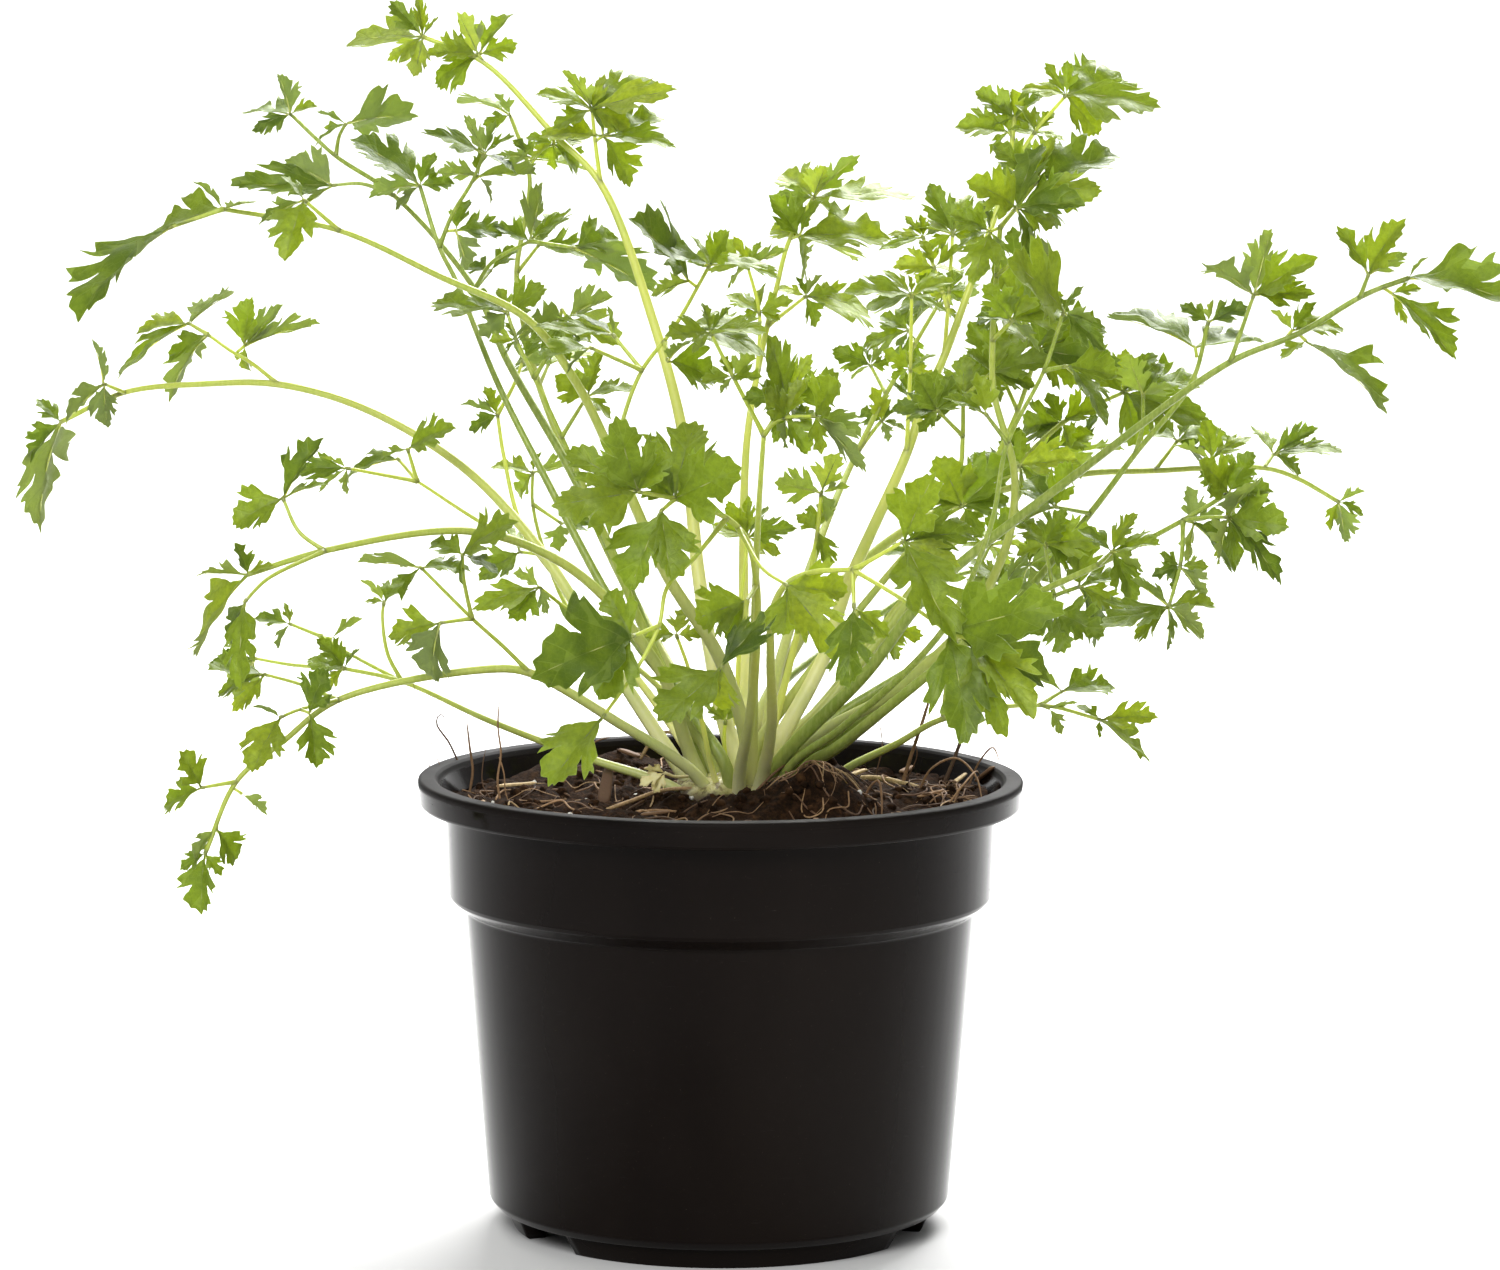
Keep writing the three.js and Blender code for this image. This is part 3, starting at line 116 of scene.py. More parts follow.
# The fronds and shoots. A line with a name starts one: its leaflet style, how dark its leaflets and how green
# its stalk are, the stalk's width at foot and tip, and whether it gets extra leaflets. Its stalk points follow,
# then a line for each spray: the points of its twig, and after the colon its leaflets. A point is x,z,y: x and z
# as it lines up with the plane y = 0, then its real y. #4 is point 4 of those before it, counted from 0.
# A leaflet is its direction in degrees from +X towards +Z, its length, and its turn: 0 faces the front, 90 up.
# How dark a frond's leaflets are is partly painted light: the pale fronds in the middle and at the back are
# painted as if lit through from behind.
PLANTS = """
frond_low_left_arch leaning .5 .5 4.2 2.2
-7,142,-10 -17,150,-13 -30,158,-16 -60,175,-22 -73,176,-25 -120,166,-35 -137,153,-38 -152,140,-41 -162,117,-43
#3 -68,183,-29 -78,192,-38 -94,208,-50 : 172,19,60 5,15,70 225,10,50
#10 -80.5,204,-48 -81,212,-54 : 150,11,40 48,19,40 345,12,30 262,9,30
#10 -88,190.5,-44 : 190,17,10 252,17,10
#5 -132,163,-50 -138,160.5,-56 : 235,17,20 150,9,40
#15 : 75,15,25 278,17,10
#5 -132,171,-20 -143,174,-10 : 195,19,30 165,16,45 230,15,20
#7 -163,138,-46 : 110,13,30 205,15,20
-153,138,-41 : 325,10,30
-158,128,-42 : 300,13,20 222,11,30
#8 : 262,19,20 205,9,30 310,8,30
frond_low_left leaning .5 .5 3.6 2
-15,139,-1 -24,142.5,1 -40,147.5,6 -72,159.5,19 -100,172,34 -118,176,45
#5 : 118,12,30 168,13,40 228,10,20 60,8,40
#4 -117,181,52 -125,186,60 : 40,11,50 275,9,30
#7 -135,190,70 : 100,7,40 165,12,50 235,9,40
#5 -134,177,64 -146,179,76 : 185,16,30 215,18,20 240,15,30 150,11,50
#4 -104.5,181,32 -106,193,34 -105.5,197,34 : 125,10,30 55,11,40 170,6,40
frond_left_mid_arch leaning .5 .5 5 2.6
-9,148,-2 -12.5,158,-8 -15,166,-13 -18,174,-17 -36,198.5,-27 -54,212,-36 -80,219.5,-50 -124,213,-68
-148,205.5,-76
#7 -132,219,-66 -137,229.5,-62 : 63,22,35 203,17,40 32,14,60
#7 -142,204,-86 -149,197,-94 : 263,24,25 243,17,50
#8 : 225,32,35 172,15,20 105,10,30 30,8,50
frond_long_left leaning .5 .4 5.2 2.4
-14,147,7 -32.5,175,14 -57,214,26 -80,239,39 -111,257.5,51 -138,265,60 -162,265,66 -186,262.3,72 -206,253,76
#2 -73,221,28 -95,235,26 :
#10 -98,245,20 : 38,16,50 190,9,50
#10 -101,242,34 : 186,17,55
#10 -117,239,14 : 178,18,40 215,12,40 262,8,20 140,9,50
#5 -147,272,66 -153,275.5,70 -160,280.5,76 : 222,24,20 208,17,30
-151,275,69 : 85,15,10 25,23,15 268,9,10 50,17,10
#16 -166,284,82 : 205,30,55 45,17,70 180,18,40
#7 -192.5,265,64 : 95,15,50 215,17,60 270,14,20
#7 : 198,10,60
#8 : 243,35,50 135,11,50 222,18,40
frond_upper_left_arch leaning .5 .5 5.4 2.2
8.5,149,-5 7,159,-12 -1,181,-22 -17,206,-33 -33,241,-46 -46,267,-54 -61,286,-61 -88,299,-68 -119,313,-74
-155,319.5,-80
#8 -130,322.5,-80 : 250,16,20 200,15,30 120,9,60
#9 : 190,25,50 125,12,70 25,11,50
#9 -172,313.5,-84 : 213,31,60
#4 -31,254,-58 -25,270,-66 -15,283.5,-70 -4,303,-72 :
#13 -34,281,-62 : 165,23,60 95,9,40 142,14,50
#13 -41,277,-82 : 178,13,70 215,10,60
-18,279,-69 -17,273,-76 : 58,10,30 345,17,30
#14 : 12,19,50 352,27,65
-8,296,-71 : 120,26,70 195,12,30
#15 : 112,10,40 65,11,30 160,16,50 8,20,70
frond_far_up_left cut .88 1 4.6 2
-7.5,149,6 -10,157,8 -19,177,12 -31,206,21 -48,240,35 -67,273,51 -77,295,63 -102,324,83 -120,336,94 -134,349,102
#6 -72,303,60 -60,310,52 : 80,17,25 45,15,30 150,12,40
#11 -46,308,44 : 335,27,35 15,15,40
#6 -72,301,74 : 45,12,30 170,9,50
#7 -112,327.5,84 -121,327,84 : 178,31,35 152,17,40 208,14,50
#8 -119,342,98 -117,346,102 : 148,10,40 18,20,70 200,12,50
#9 : 100,13,30 168,17,45 195,13,50 25,9,60
frond_upper_left_mid cut .88 1 4.4 2 full
1.5,146,-13 -6,158,-8 -11,166,-5 -28,187,1 -57,240,18 -70,266,28 -83,298,44 -88,308,49 -94,327,56
#7 -84,318,44 -78,328,38 -74,337,33 : 150,19,40 115,13,40 40,11,50
#10 : 170,13,50 8,18,65
-86,313,47 : 5,16,70
#8 : 137,27,65 178,16,35 10,11,40 215,11,40
frond_back_left_tall cut .5 .5 4.8 2
-2.5,149,8.5 -10,165,22 -36,215,66 -57,265,103 -62,285,115 -64,300,124 -60,330,139 -66,349,149
-60,333,141 : 355,18,60 20,12,30 165,14,45 135,10,30
#7 : 148,18,50 120,9,40 195,10,50
#3 -54,272,112 : 20,14,40 170,12,50 75,13,30
#5 -57,309,132 : 60,15,40 355,15,50 120,11,50
frond_inner_left cut .5 .6 4.6 2 full
-3.5,149,2 -13,165,5 -27,195,8 -38,222,4 -50,249,-5 -58.5,267.5,-9
#5 -52,279,-15 -50,289,-20 : 185,19,40 338,17,30 262,11,20 35,14,40
#5 -64,279,-7 -67,288,-5 : 172,27,65 150,13,60 110,8,50
#4 -42,262,-16 : 20,15,45 75,14,40 325,10,40
frond_left_slim cut .5 .2 3.4 1.8
-9,148,12.5 -20,165,22 -46,198,42 -62,220,54 -68,243,64 -70,256,69
#5 : 155,12,40 205,11,30 112,10,50
#5 -65,265,75 -62,273,79 : 60,13,40 115,7,50 10,9,50
frond_young_left cut .5 .5 3.2 1.6
-4,149,15 -15,166,32 -30,180,52 -47,194,72 -55,212,84 -59,228,93 -59,238,98
#3 -57,202,64 : 188,21,40 150,9,40 230,15,20 300,9,20
#4 -63,213,90 : 110,10,10 205,15,20
#5 -50,222,88 : 255,9,20 10,12,50
#6 : 165,14,50 15,11,60 235,12,30 75,7,40
frond_central_tall cut .18 .18 6 2.4 full
4,149,3 0,165,8 -7,205,20 -12,249,31 -21.5,285,39 -38,328,47 -52.6,343.3,52 -74,365,59 -93,373,64
#5 -39.7,341,46 -40.7,351,44 : 155,18,50 33,25,35 19,26,60 75,12,30
#9 : 172,20,45 27,20,20 3,22,50
#7 : 62,17,35 22,13,30 168,15,30 207,18,35
#6 : 322,13,50 205,11,40
#8 : 130,16,20 178,27,50 205,13,40 60,8,60
frond_back_centre cut .18 .18 4.8 2 full
8.5,150,10 7.5,170,23 7.5,245,76 11,270,92 16.5,295,108 20.7,311,117 28,324,124
#3 11.4,288,84 7.7,302.6,76 : 165,18,55 102,10,20 28,13,60 65,9,40
14,284,101 25.8,293.3,112 : 12,11,30 355,24,60 110,7,40
#5 : 125,16,15 165,11,20 5,32,65 345,22,70
#6 : 135,15,20 72,12,30 8,34,60 50,20,30 328,15,30
frond_front_upright cut .45 .4 4.6 2.2 full
9.5,147,-12 10,165,-23 10.5,190,-39 11,215,-56 12,235,-70 13,250,-80
#5 4.5,266,-86 -3.8,282,-92 : 175,12,50 100,9,40 15,16,60
#5 18,255,-90 29,256,-99 : 320,22,45 345,14,30 285,11,20
#5 20,261,-84 : 103,19,5 25,19,10 165,12,10 250,13,15 65,15,10
frond_front_arch broad .42 .35 4.4 2.2
6,144,-18 9,160,-33 11,185,-55 11,203,-72 8.4,216,-86 1.5,224,-99 -14.5,230,-116
#6 : 82,24,10 30,20,15 140,14,20
#6 -26,232,-128 : 108,22,10 148,25,10 185,22,20 68,16,15
#6 -19,226,-124 : 247,24,15 280,16,15
#5 -8,212,-108 -17,202,-114 -19.5,190,-118 -26,177,-121 -37,161,-124 : 228,25,45
#11 -28,186.5,-124 : 120,15,15 192,27,15 235,19,15
5,221,-93 13,208,-110 20.4,203,-118 : 350,19,15 312,23,10 272,17,15
#3 8,198,-84 : 200,19,15 250,17,30
#18 6,186,-90 0,177,-94 : 222,22,15 265,15,25
frond_front_right_arch slender .46 .3 4.6 2.2
13.5,144,-18 16,160,-36 15.5,180,-64 16,195,-88 20,203,-103 28,207,-118 41,208,-133
#6 45,210,-136 57,217,-141 : 75,20,10 12,23,20 298,27,15 335,17,20
#6 56,199,-145 71,188.5,-153 : 25,28,20 334,36,35 285,27,10
#10 78,186,-157 : 292,28,10 315,22,20
#6 41.5,196,-137 : 322,14,20 262,20,15
frond_right_tall broad .18 .18 6 2.4 full
15.5,149,-4.5 20,157,-3 32,180,4 39,202,15 57.5,244.5,36 63,261,40 69,275,43 80,306,50 88,331,55 90,349,58
#6 70,290,56 71.3,313,66 : 113,18,20 78,15,30 40,19,40 162,14,60
#10 65,304,64 62,312,68 : 192,15,50 165,11,40 95,7,40
#4 58.5,272,26 58.7,294,18 : 168,21,65 190,15,50 25,14,60 95,6,60
#8 96,344,50 106,356,46 : 5,29,60 22,22,45 88,11,30 160,14,60
90,342,57 : 168,17,50 18,12,40
#9 : 142,15,30 95,9,40 42,15,40
frond_right_inner cut .5 .5 5 2.2 full
22.5,149,-8 34,158,-7.5 50,167,-11 75,189,-20 88,213,-32 91,226,-38 91,240,-44 84.5,264,-54 84,280,-59
85,300,-64 86,315,-68
#10 91,321,-74 : 15,17,20 340,15,10 78,21,15
#10 97,329,-62 : 25,29,15 72,15,30 350,19,40
#10 : 245,15,15 150,13,30
#9 91,305,-72 : 310,14,15 20,14,20
#8 90,286,-68 : 70,16,10 20,17,20 125,13,10
frond_back_right cut .5 .5 4.6 2 full
13.5,150,14 16,168,20 21,188,36 34,226,84 42,244.5,108 51,263,122 59.5,278,132 67,291,140
#7 : 60,15,30 28,13,40 105,13,20 170,13,50
#6 58,283,142 : 197,18,40 285,16,15 150,11,50
#4 50,255,120 58,262,130 : 20,15,50 75,13,30 340,13,40
#5 46,272,134 : 150,13,40 60,10,40
frond_young_right cut .18 .18 3.6 1.8
14.5,149,2 17,160,4 23.4,186,3 29.5,217,1 31,232,0
#4 : 165,15,40 70,14,30 20,9,40 290,9,30
#3 : 75,11,20 290,11,20 140,8,30
frond_thin_right cut .6 .75 3.2 1.6
22,146,-15 38,158,-31 70,190,-66 84,222,-90 89,248,-104 100,270.5,-115 106,289,-122
#6 : 128,23,55 60,9,40 322,16,40 350,10,60
#5 107,272,-120 : 350,16,60 320,18,40
#4 82,257,-112 : 150,13,40 95,12,30
frond_right_reach slight .5 .8 5 2.4
17.5,146,-12 45,175,-28 66,202,-40 114,241,-60 158,273.6,-72 179,282.5,-76 200,295,-80 213,300,-82
#4 161.5,284,-78 165,294.5,-84 : 140,20,15 75,19,10 42,20,10 5,17,20
175,281,-75 : 130,9,30 62,9,30 12,17,45
#5 : 333,28,50 200,9,30
198,294,-80 200.5,301,-86 : 118,17,30 74,18,10 35,13,20
205,297,-81 : 322,25,40 300,11,30 15,9,40
#7 : 3,29,55 60,8,50
frond_right_up cut .5 .75 4.4 2
21,149,-1 34,160,3 75,186,3 91,197,0 115,226,-10 129,245,-17 146,267,-25 151,286,-30
#7 : 142,10,50 28,13,50 85,7,50
147.5,275,-27 : 150,27,60 12,21,60
#5 131,254,-8 131,263,0 : 110,14,20 60,13,20 30,10,40
#4 104,228,-20 : 80,14,30 130,13,30 190,12,40
frond_right_flat slight .5 .5 5 2.2
8,151,17 11,158,22 14,166,28 36,202,56 67,226,77 110,238,93 135,239.5,99 169,240.5,105 179,237.5,107
192.5,230,110
#9 : 30,9,40 338,10,40 290,13,20 248,10,30
153,240,102 : 92,14,10 42,15,20 150,14,40 265,13,40
#7 172,245,112 : 12,24,40 38,16,30 120,11,40 332,14,30
#6 142,249,106 : 15,20,40 150,14,40 60,10,40 330,15,40
#5 112,246,106 : 75,13,30 160,13,50 10,14,40
frond_right_low_mid cut .5 .7 4.6 2 full
27.5,146,-5.5 36,151.5,-12 60,171,-30 92,197,-52 118,210,-68 144,224,-83 158,232.5,-90
#6 : 8,13,50 332,21,40 65,14,30
#5 152,225,-90 158,225,-94 : 355,15,20 318,25,10 290,15,20
#5 : 320,20,50 95,10,30
#5 143.5,211,-94 140,197,-102 : 187,20,50 222,15,30 328,13,40
#4 122,214,-80 : 300,16,30 20,13,50 70,13,40
frond_low_right slight .5 .5 3.4 1.8
34,141,14 41,146,15 55,153,20 69.5,161,25 100,165.5,31 119,161,34
#4 107,170,38 : 8,18,50 150,10,50
#4 : 300,9,30 20,9,50
#5 : 12,17,40 326,23,40 140,9,40 262,6,30
#3 70.5,172,34 : 80,12,40 20,12,40 150,10,50
frond_right_cluster_low cut .6 .8 4.4 2 full
3,150,18.5 10,161,34 20,173,54 48,193,96 64,203,114 80,208,128 96,210,140
#6 : 30,16,40 340,18,30 75,13,30 290,12,30
#5 84,216,138 : 60,15,30 125,12,40 10,13,50
#4 62,213,124 : 95,14,20 170,13,50 20,11,40
#3 50,190,108 : 300,14,20 350,15,40 60,9,50
frond_right_cluster_front cut .6 .85 4.4 2 full
26.5,148,.5 40,157,-1 58,169,-3 72,181,-6 88,192,-11 104,200,-18 112,203,-22
#6 : 340,16,30 300,22,20 20,14,40
#5 104,195,-28 : 342,15,10 292,15,10 230,10,20
#5 101,216,-26 : 15,17,30 70,12,30 335,13,30 130,11,40
#4 88,203,-18 : 130,13,30 60,13,40 200,12,40
frond_right_middle broad .5 .5 4.6 2 full
16,149,8.5 30,163,17 47,185,26 66,210,32 82,229,37 96,245,42 108.5,256,47 125,264,53
#7 : 15,28,40 345,26,30 85,13,20 60,16,30
#6 : 190,15,20 235,11,20 30,14,50
#5 104,247,56 : 320,15,20 20,13,40
#4 88,239,50 : 75,15,20 150,12,40 20,12,50
frond_inner_right broad .5 .5 4.2 2 full
10.5,150,4.5 20,165,9 56,211,12 68,224,11 74,238,9 75,250,7 75,262,4
#3 75,228,3 : 112,17,20 48,22,20 160,13,30 15,15,30
#6 : 35,16,30 150,15,40 90,13,20 200,15,30
#5 67,258,-4 : 120,13,20 175,14,40 70,12,30
#6 84,270,-4 : 20,17,40 345,14,30 70,12,30
frond_right_bright broad .5 .5 4.6 2 full
20.5,150,5 36,169,10 54,192,14 70,215,15 82,236,13 92,258,9 98,277,4
#6 : 20,26,10 355,24,20 60,18,10 330,17,20
#5 86,271,16 : 75,18,15 120,17,15 170,13,30
#6 92,290,10 : 65,18,10 120,16,20 20,15,20
#4 93,241,4 : 320,15,30 10,17,40
shoot_middle cut .05 .05 2.4 1.6
3,150,12 5,170,15 6,195,17 8,218,20
#3 : 120,13,30 60,12,30 20,15,30 160,12,40 90,13,10 340,12,30
shoot_left cut .05 .05 2.4 1.6
-3,146,-13 -6,160,-16 -10,176,-22 -14,187,-26
#3 : 170,9,30 75,9,30 10,8,30
shoot_low cut .05 .05 2.4 1.6
1.5,149,-4 1,155,-5 1.5,160,-6
#2 : 100,9,20 50,8,30 140,7,30
"""


def unit(v):
    v = np.asarray(v, float)
    return v / max(np.linalg.norm(v), 1e-9)


def placed(point):
    """The real place of a point that lines up with x and z in the middle plane, at depth y"""
    x, z, y = point
    reach = (y - EYE[1]) / -EYE[1]
    return np.array([EYE[0] + (x - EYE[0]) * reach, y, EYE[2] + (z - EYE[2]) * reach])


def curve_at(points, t):
    """A place on the smooth curve through points, at t from 0 to 1"""
    last = len(points) - 1
    i = min(int(last * t), last - 1)
    w = last * t - i
    p1, p2 = points[i], points[i + 1]
    p0 = points[i - 1] if i > 0 else 2 * p1 - p2
    p3 = points[i + 2] if i + 2 <= last else 2 * p2 - p1
    d0, d1, d2 = (max(np.linalg.norm(b - a), 1e-4) ** 0.5 for a, b in ((p0, p1), (p1, p2), (p2, p3)))
    t1 = ((p1 - p0) / d0 - (p2 - p0) / (d0 + d1) + (p2 - p1) / d1) * d1
    t2 = ((p2 - p1) / d1 - (p3 - p1) / (d1 + d2) + (p3 - p2) / d2) * d1
    c2 = 3 * (p2 - p1) - 2 * t1 - t2
    c3 = 2 * (p1 - p2) + t1 + t2
    return p1 + t1 * w + c2 * w * w + c3 * w ** 3


def run_of(points):
    """How far each point lies along the way through them"""
    return np.concatenate([[0], np.cumsum(np.linalg.norm(np.diff(points, axis=0), axis=1))])


def smooth(points, spacing):
    """Evenly spaced places along the smooth curve through points"""
    points = [np.asarray(p, float) for p in points]
    ts = np.linspace(0, 1, ARC_STEPS + 1)
    run = run_of(np.array([curve_at(points, t) for t in ts]))
    count = max(int(ceil(run[-1] / spacing)), 1)
    at = np.interp(np.linspace(0, run[-1], count + 1), run, ts)
    return np.array([curve_at(points, t) for t in at])


def bent(a, control, b, t):
    """A place on the curve from a to b that a control point bends"""
    return (1 - t) ** 2 * a + 2 * t * (1 - t) * control + t * t * b


def numbers(text):
    return [float(number) for number in text.split(",")]


def read_plants():
    """The plants of the table, with their points in their real places"""
    plants = []
    for line in PLANTS.strip().split("\n"):
        if line[0].isalpha():
            name, style, tone, green, foot, tip, *full = line.split()
            stalk, paths, known = [], [], []
            plants.append({
                "name": name, "style": style, "tone": float(tone), "green": float(green), "foot": float(foot),
                "tip": float(tip), "full": full, "stalk": stalk, "paths": paths})
            continue
        points, colon, leaflets = line.partition(":")
        path = []
        for word in points.split():
            if word[0] != "#":
                known.append(placed(numbers(word)))
            path.append(known[int(word[1:])] if word[0] == "#" else known[-1])
        if colon:
            items = [leaflet_of(radians(d), s, radians(t)) for d, s, t in map(numbers, leaflets.split())]
            paths.append((path, items))
        else:
            stalk += path
    return plants


def leaflet_of(direction, span, turn, lean=None):
    leaflet = {"direction": direction, "span": span, "turn": turn}
    if lean is not None:
        leaflet["axis"], leaflet["normal"] = lie_of(leaflet, lean)
    return leaflet


def faces_of(axis):
    """The ways that a blade on an axis can face: to the front, and up"""
    front = unit(np.array([0, -1, 0]) + axis * axis[1])
    upward = np.cross(axis, front)
    return front, -upward if upward[2] < 0 else upward


def lie_of(leaflet, lean):
    """The axis and the face of a leaflet that leans forwards by an angle"""
    direction, turn = leaflet["direction"], leaflet["turn"]
    axis = np.array([
        cos(lean) * cos(direction), -sin(lean), cos(lean) * sin(direction)])
    front, upward = faces_of(axis)
    return axis, front * cos(turn) + upward * sin(turn)


def shortened(points, starts):
    """A rod that carries no further twig ends a little short, where the stem of a spray carries on"""
    end = points[-1]
    if any(np.linalg.norm(start - end) < 1 for start in starts):
        return points
    return points[:-1] + [end + unit(points[-2] - end) * STEM_LENGTH / 2]


def spray_of(end, leaflets, rods):
    """Where a spray sits: its hub, the way back to the rod that carries it, and how far that is"""
    forth = np.zeros(3)
    for leaflet in leaflets:
        forth += leaflet["span"] * np.array([cos(leaflet["direction"]), 0, sin(leaflet["direction"])])
    forth = unit(forth)
    tip = next((path for path in rods if np.linalg.norm(path[-1] - end) < 1), None)
    back = None if tip is None else unit(tip[-2] - end)
    if back is not None and back @ forth < BACKWARD:
        hub, reach = end, STEM_LENGTH
    else:
        hub, back, reach = end + forth * SIDE_STEM_LENGTH, -forth, SIDE_STEM_LENGTH
    return {"hub": hub, "back": back, "reach": reach, "leaflets": leaflets}


def settle(hub, leaflet, rod_points, blade_points):
    """A leaflet takes the lean that leaves the most room to the rods and to the leaflets before it"""
    span = leaflet["span"]
    apart = rod_points[np.linalg.norm(rod_points - hub, axis=1) > OWN_REACH * span]
    near = np.concatenate([apart, np.array(blade_points).reshape(-1, 3)])
    near = near[np.linalg.norm(near - hub, axis=1) < FAR_REACH * span]
    best = None
    for lean in LEANS:
        axis, normal = lie_of(leaflet, radians(lean - LEAN_OF_DEPTH * hub[1]))
        length = span / hypot(axis[0], axis[2])
        sideways = np.cross(normal, axis) * length * ROOM_WIDTH / 2
        corners = np.array([hub + axis * u * length + sideways * v for u, v in ROOM_POINTS])
        room = span
        if len(near):
            room = min(span, np.linalg.norm(corners[:, None] - near[None], axis=2).min())
        worth = room - LEAN_COST * abs(lean)
        if best is None or worth > best[0]:
            best = (worth, axis, normal, corners)
    blade_points.extend(best[3])
    leaflet["axis"], leaflet["normal"] = best[1:3]


def grown():
    """Every plant's rods and sprays, as the solids have them, with extra leaflets where they are full"""
    plants = read_plants()
    rod_points, blade_points = [], []
    for plant in plants:
        line = plant["stalk"]
        root = line[0].copy()
        root[2] = ROOT_LEVEL
        twigs = plant["twigs"] = [path for path, _ in plant["paths"] if len(path) > 1]
        starts = [path[0] for path in twigs]
        rod_points += [smooth(shortened(path, starts), ROOM_STEP) for path in [[root] + line] + twigs]
        plant["sprays"] = [spray_of(path[-1], items, [line] + twigs) for path, items in plant["paths"] if items]
    rod_points = np.concatenate(rod_points)
    for plant in plants:
        for spray in plant["sprays"]:
            for leaflet in spray["leaflets"]:
                settle(spray["hub"], leaflet, rod_points, blade_points)
    for plant in plants:
        if plant["name"] == "frond_front_arch":
            # A leaflet that hangs twisted in front of the crown
            plant["sprays"][-1]["leaflets"].append(leaflet_of(radians(54), 23, radians(48), -0.15))
        if plant["full"]:
            plant["sprays"] += twig_pairs(plant)
            for spray in plant["sprays"]:
                filled(spray, rod_points, blade_points)
    return plants


def leaflet_to(direction, span):
    return leaflet_of(direction, span, radians(rng.uniform(20, 78)))


def stem_of(spray):
    """The direction in which a spray's stem leaves it"""
    return atan2(spray["back"][2], spray["back"][0]) % WHOLE


def filled(spray, rod_points, blade_points):
    """More leaflets go into the widest gaps of a spray"""
    stem, leaflets = stem_of(spray), spray["leaflets"]
    turned = sorted([stem] + [leaflet["direction"] % WHOLE for leaflet in leaflets])
    gaps = [((turned[(i + 1) % len(turned)] - here) % WHOLE or WHOLE, here) for i, here in enumerate(turned)]
    for gap, here in sorted(gaps, reverse=True)[:EXTRA_LEAFLETS]:
        beside_stem = here == stem or abs((here + gap - stem + pi) % WHOLE - pi) < 1e-6
        if gap < (GAP_AT_STEM if beside_stem else GAP):
            continue
        share = (0.6 if here == stem else 0.4) if beside_stem else 0.5
        mean = sum(leaflet["span"] for leaflet in leaflets) / len(leaflets)
        extra = leaflet_to(here + gap * share, mean * rng.uniform(0.65, 0.9))
        settle(spray["hub"], extra, rod_points, blade_points)
        leaflets.append(extra)


def twig_pairs(plant):
    """A pair of small leaflets halfway along each long twig"""
    pairs = []
    for twig in plant["twigs"]:
        path = smooth(twig, 2)
        if len(path) < PAIR_FROM:
            continue
        at = int(len(path) * 0.55)
        hub = path[at]
        if min(np.linalg.norm(spray["hub"] - hub) for spray in plant["sprays"]) < PAIR_ROOM:
            continue
        ahead = atan2(*(path[at + 1] - path[at - 1])[[2, 0]])
        leaflets = [leaflet_to(ahead + turn * rng.uniform(0.9, 1.25), rng.uniform(8, 13)) for turn in (1, -1)]
        for leaflet in leaflets:
            leaflet["axis"], leaflet["normal"] = lie_of(leaflet, radians(rng.uniform(-25, 25)))
        pairs.append({"hub": hub, "back": unit(path[at - 1] - hub), "reach": STEM_LENGTH, "leaflets": leaflets})
    return pairs


# Half outlines of leaflets from base to tip, as shares of the length and of the half width.
# e is a point on a smooth edge, t the tip of a tooth and s the bottom of a notch.
HALVES = {
    "fan": "e.05,.07 e.13,.22 e.24,.45 e.35,.68 t.46,.92 s.51,.80 t.60,1.0 s.60,.78 t.74,.94 s.58,.46 e.70,.54 "
           "t.83,.68 s.83,.46 t.93,.42 s.92,.20",
    "wide": "e.05,.07 e.14,.24 e.26,.52 t.38,.84 s.445,.76 t.54,1.0 s.50,.64 t.68,1.02 s.665,.76 t.78,.80 "
            "s.54,.32 e.70,.44 t.85,.60 s.85,.38 t.95,.30 s.93,.12",
    "lobed": "e.05,.06 e.14,.20 e.25,.45 t.40,.90 s.465,.78 t.56,1.06 s.585,.84 t.70,.96 s.48,.36 e.60,.46 "
             "t.74,.70 s.76,.50 t.86,.52 s.865,.30 t.95,.24 s.94,.10",
    "cut": "e.06,.04 e.15,.20 e.25,.46 t.38,.90 s.445,.76 t.54,.98 s.43,.36 e.52,.48 t.67,.92 s.69,.70 "
           "t.79,.74 s.60,.28 e.70,.36 t.84,.52 s.855,.32 t.94,.28 s.93,.10",
    "slim": "e.08,.04 e.20,.20 e.31,.46 t.47,.88 s.53,.68 t.63,.86 s.49,.32 e.60,.40 t.78,.62 s.795,.40 "
            "t.90,.38 s.89,.16",
    "small": "e.07,.06 e.22,.34 t.44,.96 s.50,.70 t.64,.98 s.50,.36 e.64,.38 t.82,.62 s.83,.32",
}
HALVES = {name: [(part[0], *numbers(part[1:])) for part in text.split()] for name, text in HALVES.items()}


def edge(a, b, step, bulge):
    """Points from a to b along an edge that bulges to the right of its way"""
    across = b - a
    control = (a + b) / 2 + np.array([across[1], -across[0]]) * bulge
    count = max(int(round(np.linalg.norm(across) / step)), 1)
    return [bent(a, control, b, t) for t in np.arange(count) / count]


def distance_to(points, segments):
    """The distance of each point to the nearest of some segments"""
    best = np.full(len(points), 1e9)
    for a, b in segments:
        along = b - a
        t = np.clip(((points - a) @ along) / max(along @ along, 1e-12), 0, 1)
        best = np.minimum(best, np.linalg.norm(points - (a + t[:, None] * along), axis=1))
    return best


def inside(points, loop):
    """Which points lie inside a closed outline"""
    within = np.zeros(len(points), bool)
    for (x0, y0), (x1, y1) in zip(loop, np.roll(loop, -1, axis=0)):
        cross = (y0 > points[:, 1]) != (y1 > points[:, 1])
        within ^= cross & (points[:, 0] < (x1 - x0) * (points[:, 1] - y0) / ((y1 - y0) or 1e-12) + x0)
    return within


